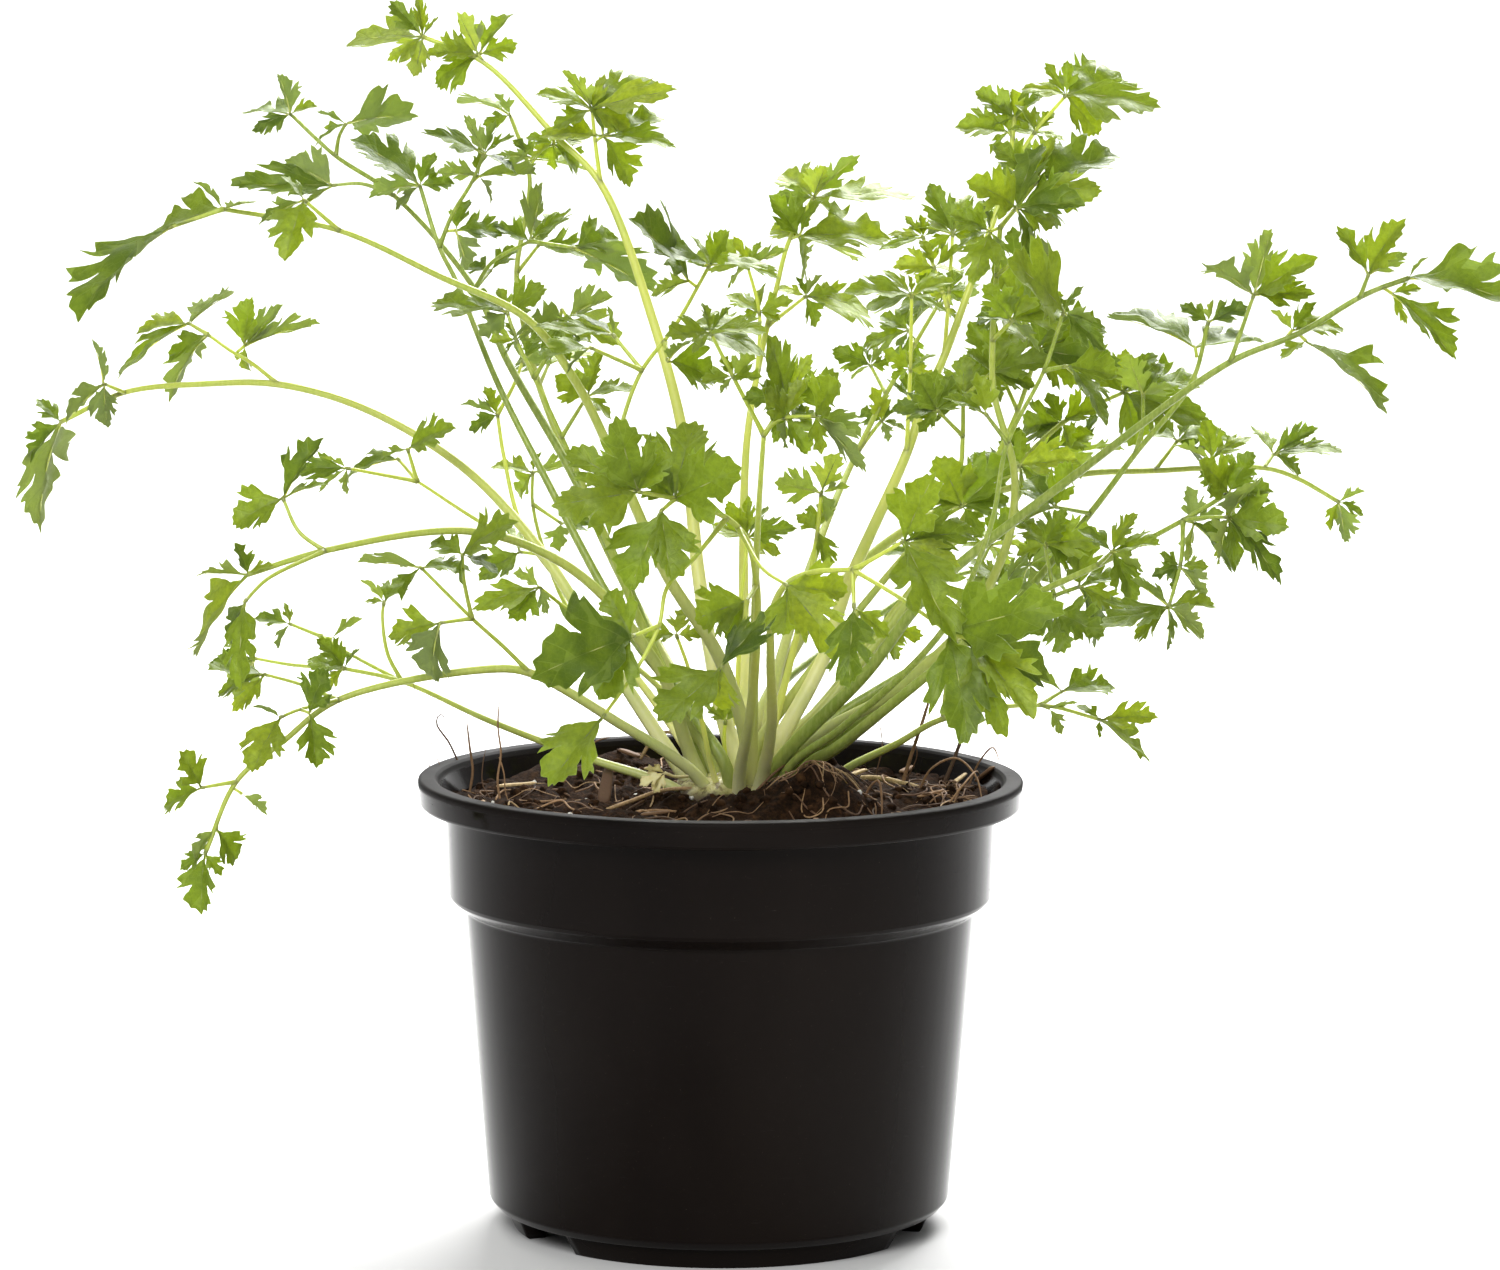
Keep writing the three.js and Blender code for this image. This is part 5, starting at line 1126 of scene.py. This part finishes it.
# Fibres and roots that stand out: width, how pale they are, then their points x,y,z
MARKED_FIBRES = """
.75 .62 -69,0,133 -70,0,141 -69,1,149 -70,2,158 -69.5,2,166
.5 .6 -69.5,1,148 -68,0,143 -67.5,0,137 -66,-1,133
.9 .5 -80,24,133 -79,24,140 -80,25,148 -81,26,156
.8 .12 -78,32,132 -83,32,140 -87,33,148 -91,34,154 -90,34,157 -88.5,34,156
.28 .35 -85,18,133 -90,22,144 -96,26,160 -99,28,172
.35 .3 -89,16,132 -92,18,140 -93,20,148
.4 .25 -72,8,133 -75,8,138 -75,9,145 -74,10,150
1.5 .78 -35,-24,135.5 -28,-17,137 -18,-7,139 -8,-4,139 2,-12,137.5
.9 .66 -30,-27,134.5 -20,-25,135.5 -10,-27,135 2,-30,134.5
.8 .62 -64,-30,134.5 -55,-34,136 -45,-36,135.5 -36,-40,135
.7 .7 -58,-20,134.5 -50,-16,137 -46,-26,136 -40,-32,135
1 .6 -76,-12,134.5 -66,-14,136.5 -56,-12,136 -48,-10,136.5
1.3 .85 -26,47,141 -22,44,148 -17,38,151 -11,31,149 -4,24,145 0,19,142
.8 .4 -48,44,136 -46,44,143 -40,45,147 -36,46,148
1.3 .55 57,24,134 60,26,144 64,28,156 67,29,166
1.4 .14 70,25,134 74,26,144 77,27,152 82,28,162
2.1 .95 45,35,137 51,30,137.5 57,25,137 63,20,136.5
.9 .72 24,-6,146 30,-12,148 34,-18,144 35,-24,137 38,-30,134
.8 .55 20,-14,147 22,-20,143 23,-26,137
1 .5 6,-28,136 12,-22,142 18,-16,147 22,-12,149
.8 .74 -8,-30,134.5 0,-34,136.5 12,-33,136 26,-30,137 36,-34,135
.9 .5 44,-20,134 46,-22,142 49,-24,145 50,-27,140 50,-30,134
.8 .6 62,10,134 66,6,144 74,4,148 80,0,143 82,-6,136
.7 .5 78,20,135 82,18,145 86,14,150 88,10,146
.7 .68 70,-10,134 76,-6,141 80,2,144 82,12,141
.5 .3 50,56,135 52,58,144 51,60,152
.45 .35 60,48,135 63,46,143 61,44,150
"""

# Flat chips of wood and bark: middle, half sizes, heading and tilt in degrees, how pale
CHIPS = """
-65,20,136.5 6.5,1.5,.5 -8 6 .92
-36,6,139 7.5,2,.8 78 52 .22
44,40,138 3.2,1.3,.5 25 14 .98
84,24,140 5.5,1.4,.6 -55 34 .45
-20,-34,136 4.5,1.1,.5 12 4 .45
66,2,137 4.6,1.2,.5 12 12 .62
76,22,139 3.5,.9,.4 50 20 .95
-52,30,137 3.6,1.2,.5 130 10 .5
10,70,137 4.4,1.4,.6 40 8 .4
-30,60,141 4,1.5,.6 150 12 .35
30,-50,136 4.2,1.2,.5 100 6 .55
-14,-60,136 5,1,.5 30 6 .7
56,-38,136 3.6,1.3,.5 160 10 .6
-74,-26,137 3.8,1.1,.5 80 14 .75
0,-74,136 4.4,1.2,.5 5 5 .4
60,54,137 4,1.3,.5 60 8 .5
"""


def fibres_object(material):
    """Marked fibres, fibres all over the soil and in two tangles, and chips"""
    build = Build()
    for line in MARKED_FIBRES.strip().split("\n"):
        width, tint, *points = line.split()
        fibre(build, [numbers(p) for p in points], float(width), float(tint), 7)
    for _ in range(FIBRES):
        x, y = on_soil()
        fibre(build, crawling(x, y, rng.uniform(9, 30), rng.choice([0.2, 0.8, 2.4], p=[0.5, 0.35, 0.15])),
              rng.uniform(0.25, 0.75), rng.uniform(0.1, 0.85))
    for _ in range(TANGLED_FIBRES):
        x, y = rng.normal((30, -18) if rng.random() < 0.6 else (78, 8), 9, 2)
        if hypot(x, y) < 78:
            fibre(build, crawling(x, y, rng.uniform(8, 24), rng.uniform(0.3, 2.6)),
                  rng.uniform(0.3, 0.7), rng.uniform(0.3, 0.8))
    for seed, line in enumerate(CHIPS.strip().split("\n")):
        chip(build, seed, *map(numbers, line.split()))
    return build.object("roots_and_chips", material)


def chip(build, seed, middle, half, heading, tilt, tint):
    """A splinter of bark: a long flat lump with torn ends"""
    shaped = []
    for p in BALL[0]:
        x, y, z = np.sign(p) * np.abs(p) ** 0.55
        torn = 1 + 0.16 * noise.noise(Vector((seed * 3.1, y * 2.4, z * 2)))
        thick = 1 + 0.4 * noise.noise(Vector((x * 3, y, seed)))
        shaped.append((x * half[0] * torn, y * half[1] * (1 - 0.25 * x), z * half[2] * thick))
    turn = Matrix.Rotation(radians(*heading), 3, "Z") @ Matrix.Rotation(-radians(*tilt), 3, "Y")
    build.add(np.array(shaped) @ np.array(turn).T + np.array(middle), BALL[1], tint=tint[0])


def perlite_object(material):
    build = Build()
    spots = [(-9, -17), (-18, 34), (-60, 36), (-46, -34), (58, -26), (22, 62)]
    spots += [on_soil() for _ in range(PERLITE_GRAINS)]
    for i, spot in enumerate(spots):
        lump(build, spot, 0.5, rng.uniform(0.5, 1.0), i * 1.9 + 3, 0.5, 0.9)
    return build.object("perlite_grains", material)


def crown_object(material):
    """The crown: a knobbly dome of old leaf bases on its root stock"""
    rows, columns, root_depth = 40, 96, 30.0
    points = []
    for i in range(1, rows):
        polar = pi * i / rows
        for k in range(columns):
            angle = WHOLE * k / columns
            x, y, z = sin(polar) * cos(angle), sin(polar) * sin(angle), cos(polar)
            swell = 1 + 0.07 * sin(5 * angle) * (1 - z * z)
            scales = 0.05 * sin(13 * angle + 4 * z) + 0.06 * noise.noise(Vector((x, y, z)) * 4)
            lumps = 0.05 * noise.noise(Vector((x, y, z)) * 9)
            swell *= 0.86 + (scales + lumps) * 0.7
            half = [*CROWN_HALF_SIZE[:2], root_depth if z < 0 else CROWN_HALF_SIZE[2]]
            points.append(CROWN_MIDDLE + np.array([x, y, z]) * half * swell)
    points += [CROWN_MIDDLE + [0, 0, CROWN_HALF_SIZE[2] * 0.95], CROWN_MIDDLE - [0, 0, root_depth * 0.95]]
    k, last = np.arange(columns), (rows - 2) * columns
    n = (k + 1) % columns
    a, b, c, d = net(rows - 1, columns)
    build = Build()
    build.add(points, np.concatenate([
        quads(a, d, c, b), fan(len(points) - 2, k, n), fan(len(points) - 1, last + n, last + k)]))
    return build.object("crown_fine", material)


# Dry stubs of old stalks on the crown: name, width, how brown, and points x,z,y
DRY_STUBS = (
    ("dry_stub_left", 2.6, 0.1, ((15.5, 139, 20), (16.5, 157, 21.5), (17.2, 163.4, 23))),
    ("dry_stub_right", 3, 0.9, ((21, 140, 16), (22, 161, 18.5), (21.5, 168.7, 20))),
)


def stub_object(name, width, tint, points, material):
    """A dry stub of an old stalk with a frayed end"""
    line = [placed(p) for p in points]
    root = line[0].copy()
    root[2] = ROOT_LEVEL
    path = smooth([root] + line, 1.2)
    share = np.linspace(0, 1, len(path))
    build = Build()
    radii = width / 2 * (1 + 0.25 * share) * (1 + 0.06 * np.sin(share * 40))
    tube(build, path[:-2], radii[:-2], 12, 0, 0.06, tint=tint)
    end, along = path[-3], unit(path[-1] - path[-4])
    for i in range(9):
        angle = i / 9 * WHOLE
        out = np.array([cos(angle), sin(angle), 0]) * width * 0.42
        top = end + out * 1.15 + along * (1.2 + 0.9 * sin(i * 2.3))
        fibre(build, [end + out * 0.9 - along * 2, end + out + along * 0.6, top], 0.8, tint * 0.8)
    return build.object(name + "_fine", material)


def withered_leaf(shapes, material):
    """A small pale leaf at the foot of the plant"""
    build = Build()
    hub = placed([-17.5, 143.5, -29])
    for direction, span, turn in ((200, 8.5, 25), (245, 7, 15), (160, 6.5, 40)):
        leaflet = leaflet_of(radians(direction), span, radians(turn), 0.1)
        leaflet_on(build, hub, leaflet, 0.9, 0.9, shapes, "cut", 0.2)
    stem = smooth([hub, hub + [3, 2, -1.5], hub + [7, 6, -2]], 1)
    tube(build, stem, np.full(len(stem), 0.5), 6)
    return build.object("withered_leaf", material)


# Materials. They read the values that the pieces carry: tint, vein and margin in mm, under, along and turn.


class Shader:
    """The nodes of one procedural material"""

    def __init__(self, name):
        self.material = bpy.data.materials.new(name)
        self.material.use_nodes = True
        self.tree = self.material.node_tree
        self.tree.nodes.clear()

    def node(self, kind, inputs=(), **settings):
        made = self.tree.nodes.new(kind)
        for key, value in settings.items():
            setattr(made, key, value)
        for key, value in dict(inputs).items():
            self.put(made.inputs[key], value)
        return made

    def put(self, socket, value):
        if isinstance(value, bpy.types.NodeSocket):
            self.tree.links.new(value, socket)
        elif hasattr(socket.default_value, "__len__") and len(socket.default_value) == 4:
            socket.default_value = (*value, 1)
        else:
            socket.default_value = value

    def value(self, name):
        return self.node("ShaderNodeAttribute", attribute_name=name).outputs["Fac"]

    def place(self):
        return self.node("ShaderNodeTexCoord").outputs["Object"]

    def height(self):
        return self.node("ShaderNodeSeparateXYZ", {0: self.place()}).outputs["Z"]

    def math(self, operation, a, b=0.5, c=0.5):
        return self.node("ShaderNodeMath", {0: a, 1: b, 2: c}, operation=operation).outputs[0]

    def plus(self, a, b, times=1.0):
        return self.math("ADD", a, b if times == 1.0 else self.math("MULTIPLY", b, times))

    def ramp(self, value, low, high, start=0.0, end=1.0):
        """value from low to high turned into start to end, with a soft start and end"""
        return self.node("ShaderNodeMapRange", {
            "Value": value, "From Min": low, "From Max": high, "To Min": start, "To Max": end},
            interpolation_type="SMOOTHSTEP").outputs[0]

    def mix(self, share, a, b, blend="MIX"):
        return self.node("ShaderNodeMix", {0: share, 6: a, 7: b}, data_type="RGBA", blend_type=blend).outputs[2]

    def tinge(self, base, value, low, high, most, colour):
        """base turned up to most towards a colour, as value goes from low to high"""
        return self.mix(self.ramp(value, low, high, 0.0, most), base, colour)

    def colours(self, value, *stops):
        made = self.node("ShaderNodeValToRGB", {"Fac": value})
        ramp = made.color_ramp
        while len(ramp.elements) < len(stops):
            ramp.elements.new(0.5)
        for element, (at, *colour) in zip(ramp.elements, stops):
            element.position = at
            element.color = (*colour, 1)
        return made.outputs["Color"]

    def noise(self, scale, detail=4, rough=0.55, stretch=None, distortion=0.0):
        place = self.place()
        if stretch:
            place = self.node("ShaderNodeMapping", {"Vector": place, "Scale": stretch}).outputs[0]
        return self.node("ShaderNodeTexNoise", {
            "Vector": place, "Scale": scale, "Detail": detail, "Roughness": rough, "Distortion": distortion,
        }).outputs["Fac"]

    def bump(self, height, depth, strength):
        inputs = {"Height": height, "Distance": depth, "Strength": strength}
        return self.node("ShaderNodeBump", inputs).outputs[0]

    def skin(self, colour, rough, normal=None, specular=0.5, subsurface=None):
        """The surface, and where it has some the share, scale and radius of its subsurface light"""
        inputs = {"Base Color": colour, "Roughness": rough, "Specular IOR Level": specular}
        if normal:
            inputs["Normal"] = normal
        if subsurface:
            inputs.update(zip(("Subsurface Weight", "Subsurface Scale", "Subsurface Radius"), subsurface))
        return self.finish(self.node("ShaderNodeBsdfPrincipled", inputs).outputs[0])

    def through(self, share, colour, normal=None):
        """Light that comes through a thin leaf joins the surface"""
        out = self.tree.nodes["Material Output"].inputs["Surface"]
        inputs = {"Color": colour, "Normal": normal} if normal else {"Color": colour}
        light = self.node("ShaderNodeBsdfTranslucent", inputs).outputs[0]
        return self.finish(self.node("ShaderNodeMixShader", {
            0: share, 1: out.links[0].from_socket, 2: light}).outputs[0])

    def finish(self, surface):
        nodes = self.tree.nodes
        out = nodes.get("Material Output") or nodes.new("ShaderNodeOutputMaterial")
        self.tree.links.new(surface, out.inputs["Surface"])
        return self.material


def leaf_material():
    s = Shader("parsley_leaf")
    tint, tone, vein, margin, under = (s.value(n) for n in ("tint", "along", "vein", "margin", "under"))
    mottle = s.noise(620, 4, 0.6)
    cells = s.node("ShaderNodeTexVoronoi", {"Vector": s.place(), "Scale": 560}, feature="DISTANCE_TO_EDGE")
    net_of_veins = s.ramp(cells.outputs["Distance"], 0.10, 0.0)
    # A leaflet's darkness runs from pale to deep green: its frond's darkness from the table plus a random share.
    # The frond darkness is partly painted light, with the pale fronds in the middle and at the back painted as
    # if lit through from behind.
    pale_green_and_painted_light = s.mix(tint, (0.25, 0.352, 0.018), (0.44, 0.52, 0.045))
    deep = s.mix(tint, (0.050, 0.104, 0.012), (0.150, 0.230, 0.022))
    darkness_and_painted_light = s.math("ADD", tone, s.math("MULTIPLY_ADD", s.value("turn"), 0.7, -0.35))
    base = s.mix(s.ramp(darkness_and_painted_light, 0.0, 1.0), pale_green_and_painted_light, deep)
    base = s.tinge(base, s.noise(95, 3), 0.38, 0.68, 0.45, (0.27, 0.37, 0.035))
    base = s.tinge(base, mottle, 0.35, 0.7, 0.35, (0.060, 0.122, 0.012))
    base = s.tinge(base, vein, 0.20, 0.04, 0.22, (0.36, 0.46, 0.12))
    base = s.mix(s.math("MULTIPLY", net_of_veins, 0.10), base, (0.30, 0.42, 0.09))
    base = s.tinge(base, margin, 0.28, 0.02, 0.35, (0.36, 0.48, 0.14))
    colour = s.mix(under, base, s.mix(0.52, base, (0.36, 0.42, 0.24)))
    height = s.plus(s.math("MULTIPLY", s.ramp(vein, 0.0, 0.6), 0.6), mottle, 0.5)
    normal = s.bump(s.plus(height, net_of_veins, -0.25), 0.00025, 0.55)
    rough = s.plus(s.mix(under, (0.47,) * 3, (0.62,) * 3), s.ramp(mottle, 0.3, 0.7, -0.05, 0.08))
    s.skin(s.mix(1.0, colour, (0.80, 0.78, 0.80), "MULTIPLY"), rough, normal, 0.42)
    bright = s.mix(1.0, colour, (1.85, 1.72, 0.85), "MULTIPLY")
    return s.through(0.5, s.mix(0.2, bright, (0.60, 0.68, 0.02)), normal)


def stalk_material():
    s = Shader("parsley_stalk")
    along = s.value("along")
    grain = s.noise(900, 4, 0.6, (1, 1, 0.12))
    pale = s.colours(along, (0.0, 0.88, 0.83, 0.58), (0.12, 0.82, 0.79, 0.45), (0.38, 0.58, 0.60, 0.15),
                     (1.0, 0.43, 0.49, 0.07))
    green = s.colours(along, (0.0, 0.58, 0.58, 0.30), (0.06, 0.32, 0.38, 0.10), (0.16, 0.19, 0.255, 0.035),
                      (1.0, 0.175, 0.235, 0.03))
    base = s.mix(s.ramp(s.value("tint"), 0.1, 0.85), pale, green)
    base = s.tinge(base, s.noise(60, 3), 0.4, 0.7, 0.25, (0.30, 0.42, 0.08))
    base = s.tinge(base, grain, 0.35, 0.7, 0.22, (0.62, 0.64, 0.24))
    return s.skin(base, 0.36, s.bump(grain, 0.0002, 0.5), 0.36, (0.6, 0.003, (1.0, 1.0, 0.4)))


def crown_material():
    s = Shader("crown_skin")
    grain = s.noise(260, 5, 0.65, (1, 1, 0.25))
    dirt = s.noise(150, 5, 0.7)
    base = s.mix(s.ramp(grain, 0.3, 0.7), (0.52, 0.49, 0.17), (0.72, 0.67, 0.36))
    base = s.tinge(base, dirt, 0.50, 0.62, 0.85, (0.10, 0.052, 0.022))
    # Soil stains its foot
    level = s.math("MULTIPLY_ADD", dirt, 0.012, s.height())
    base = s.tinge(base, level, 0.1475, 0.1435, 1.0, (0.045, 0.024, 0.011))
    return s.skin(base, 0.5, s.bump(grain, 0.0006, 0.7), 0.5, (0.2, 0.002, (0.9, 1.0, 0.4)))


def dry_material():
    s = Shader("dry_stalk")
    grain = s.noise(700, 5, 0.7, (1, 1, 0.08))
    base = s.mix(s.value("tint"), (0.20, 0.115, 0.055), (0.44, 0.21, 0.07))
    base = s.tinge(base, grain, 0.35, 0.7, 0.7, (0.60, 0.43, 0.22))
    return s.skin(base, 0.82, s.bump(grain, 0.0005, 0.9))


def soil_material():
    s = Shader("peat")
    crumbs = s.noise(420, 6, 0.7)
    base = s.colours(crumbs, (0.28, 0.004, 0.0022, 0.0014), (0.46, 0.017, 0.0085, 0.0042),
                     (0.60, 0.044, 0.021, 0.0095), (0.78, 0.115, 0.058, 0.025))
    base = s.tinge(base, s.noise(70, 4, 0.6), 0.4, 0.7, 0.5, (0.024, 0.012, 0.006))
    base = s.tinge(base, s.value("tint"), 0.5, 1.0, 0.6, (0.10, 0.048, 0.020))
    return s.skin(base, 0.93, s.bump(s.plus(crumbs, s.noise(1500, 3), 0.4), 0.0016, 0.9), 0.08)


def withered_material():
    s = Shader("withered_leaf")
    grain = s.noise(420, 4, 0.6)
    base = s.mix(s.ramp(grain, 0.3, 0.7), (0.84, 0.77, 0.34), (0.92, 0.88, 0.55))
    base = s.tinge(base, s.value("margin"), 0.5, 0.1, 0.3, (0.50, 0.33, 0.10))
    s.skin(base, 0.7, s.bump(grain, 0.0003, 0.6))
    return s.through(0.3, base)


def fibre_material():
    s = Shader("root_fibre")
    grain = s.noise(1300, 4)
    base = s.colours(s.value("tint"), (0.0, 0.030, 0.018, 0.012), (0.35, 0.13, 0.065, 0.030),
                     (0.7, 0.33, 0.19, 0.09), (1.0, 0.62, 0.47, 0.24))
    base = s.tinge(base, grain, 0.35, 0.7, 0.5, (0.09, 0.05, 0.025))
    return s.skin(base, 0.78, s.bump(grain, 0.0002, 0.6))


def perlite_material():
    s = Shader("perlite")
    grain = s.noise(1600, 5, 0.7)
    base = s.mix(s.ramp(grain, 0.3, 0.7), (0.46, 0.43, 0.38), (0.86, 0.85, 0.81))
    return s.skin(base, 0.8, s.bump(grain, 0.0005, 0.9))


def pot_material():
    s = Shader("black_plastic")
    broad = s.noise(9, 4, 0.6, (1, 1, 0.5))
    scuffs = s.noise(300, 6, 0.75, (0.25, 0.25, 3.0), 0.6)
    base = s.mix(s.ramp(broad, 0.35, 0.7), (0.0036, 0.0022, 0.0017), (0.0068, 0.0046, 0.0035))
    base = s.tinge(base, scuffs, 0.63, 0.76, 0.25, (0.030, 0.028, 0.027))
    base = s.tinge(base, s.noise(1900, 2, 0.5), 0.72, 0.80, 0.5, (0.09, 0.07, 0.055))
    haze = s.ramp(s.noise(34, 5, 0.65, (1, 1, 0.3)), 0.3, 0.7, 0.09, 0.14)
    rough = s.plus(haze, s.ramp(scuffs, 0.55, 0.75, 0.0, 0.22))
    # The rim's top edge is dull
    rough = s.plus(rough, s.ramp(s.height(), 0.1395, 0.1412, 0.0, 0.5))
    return s.skin(base, rough, s.bump(s.plus(broad, s.noise(700, 4), 0.08), 0.0006, 0.35), 0.075)


def stage_material():
    s = Shader("pale_floor")
    return s.skin(s.mix(s.noise(14, 3), (0.60, 0.60, 0.595), (0.63, 0.63, 0.625)), 0.85, None, 0.2)


def take(piece, slot, *nodes):
    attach(piece, "root")
    if nodes:
        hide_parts(*nodes)


plants = grown()
shapes = patterns()
leaf, stalk = leaf_material(), stalk_material()
slot_of = {item["node"]: item["material_slot"] for item in frame["record"]["subparts"]}
for plant in plants:
    take(frond_object(plant, shapes, [leaf, stalk]), slot_of[plant["name"]], plant["name"])

take(pot_object(pot_material()), "pot", "pot")
take(soil_object(soil_material()), "soil", "soil")
take(fibres_object(fibre_material()), "soil")
take(perlite_object(perlite_material()), "soil")
take(crown_object(crown_material()), "crown", "crown")
take(withered_leaf(shapes, withered_material()), "dry_stalk")
dry = dry_material()
for stub in DRY_STUBS:
    take(stub_object(*stub, dry), "dry_stalk", stub[0])

# The backdrop in metres: half its width, its ends, and the bend where the floor turns up
BACKDROP_HALF = 1.7
BACKDROP_NEAR = -2.6
BACKDROP_TOP = 3.6
BEND_START = 1.5
BEND_RADIUS = 0.9


def backdrop():
    """A pale floor that curves up behind"""
    profile = [(BACKDROP_NEAR, 0.0), (BEND_START, 0.0)]
    profile += [(BEND_START + BEND_RADIUS * sin(t), BEND_RADIUS * (1 - cos(t)))
                for t in np.linspace(0.08, pi / 2, 16)]
    profile.append((BEND_START + BEND_RADIUS, BACKDROP_TOP))
    points = [(x, y, z) for y, z in profile for x in (-BACKDROP_HALF, BACKDROP_HALF)]
    faces = [(2 * i, 2 * i + 1, 2 * i + 3, 2 * i + 2) for i in range(len(profile) - 1)]
    mesh = bpy.data.meshes.new("backdrop")
    mesh.from_pydata(points, [], faces)
    mesh.polygons.foreach_set("use_smooth", [True] * len(faces))
    mesh.materials.append(stage_material())
    linked("backdrop", mesh)


def lamp(name, place, target, width, height, watts):
    light = bpy.data.lights.new(name, "AREA")
    light.shape = "RECTANGLE"
    light.size, light.size_y = width, height
    light.energy = watts
    made = linked(name, light)
    made.location = place
    made.rotation_euler = (Vector(target) - Vector(place)).to_track_quat("-Z", "Y").to_euler()


backdrop()
lamp("back_panel", (0.3, 1.15, 1.2), (0, 0, 0.2), 1.0, 0.6, 54)
lamp("backdrop_left", (-0.8, 1.0, 1.6), (-0.35, 2.3, 0.5), 0.8, 0.8, 38)
lamp("backdrop_right", (0.8, 1.0, 1.6), (0.35, 2.3, 0.5), 0.8, 0.8, 38)
lamp("front_panel", (-0.45, -1.85, 1.35), (0, 0, 0.25), 1.0, 1.0, 47)

world = bpy.data.worlds.new("studio")
world.use_nodes = True
background = world.node_tree.nodes["Background"].inputs
background["Color"].default_value = (1, 1, 1, 1)
background["Strength"].default_value = 0.38
bpy.context.scene.world = world
bpy.context.scene.view_settings.view_transform = "Standard"

# The camera looks at the plant from the front, a little from above
CAMERA_TARGET = Vector((0.009, 0, 0.1872))
CAMERA_DISTANCE = 1.8
CAMERA_ELEVATION = radians(7.11)
CAMERA_ROLL = radians(0.29)
FOCAL_LENGTH = 138.05
lens = bpy.data.cameras.new("camera")
lens.sensor_fit = "HORIZONTAL"
lens.sensor_width = 36
lens.lens = FOCAL_LENGTH
lens.clip_end = 20
camera = linked("camera", lens)
ahead = Vector((0, cos(CAMERA_ELEVATION), -sin(CAMERA_ELEVATION)))
right = Vector((1, 0, 0))
up = right.cross(ahead)
turned_right = right * cos(CAMERA_ROLL) + up * sin(CAMERA_ROLL)
turned_up = up * cos(CAMERA_ROLL) - right * sin(CAMERA_ROLL)
place = Matrix((turned_right, turned_up, -ahead)).transposed().to_4x4()
place.translation = CAMERA_TARGET - ahead * CAMERA_DISTANCE
camera.matrix_world = place
bpy.context.scene.camera = camera
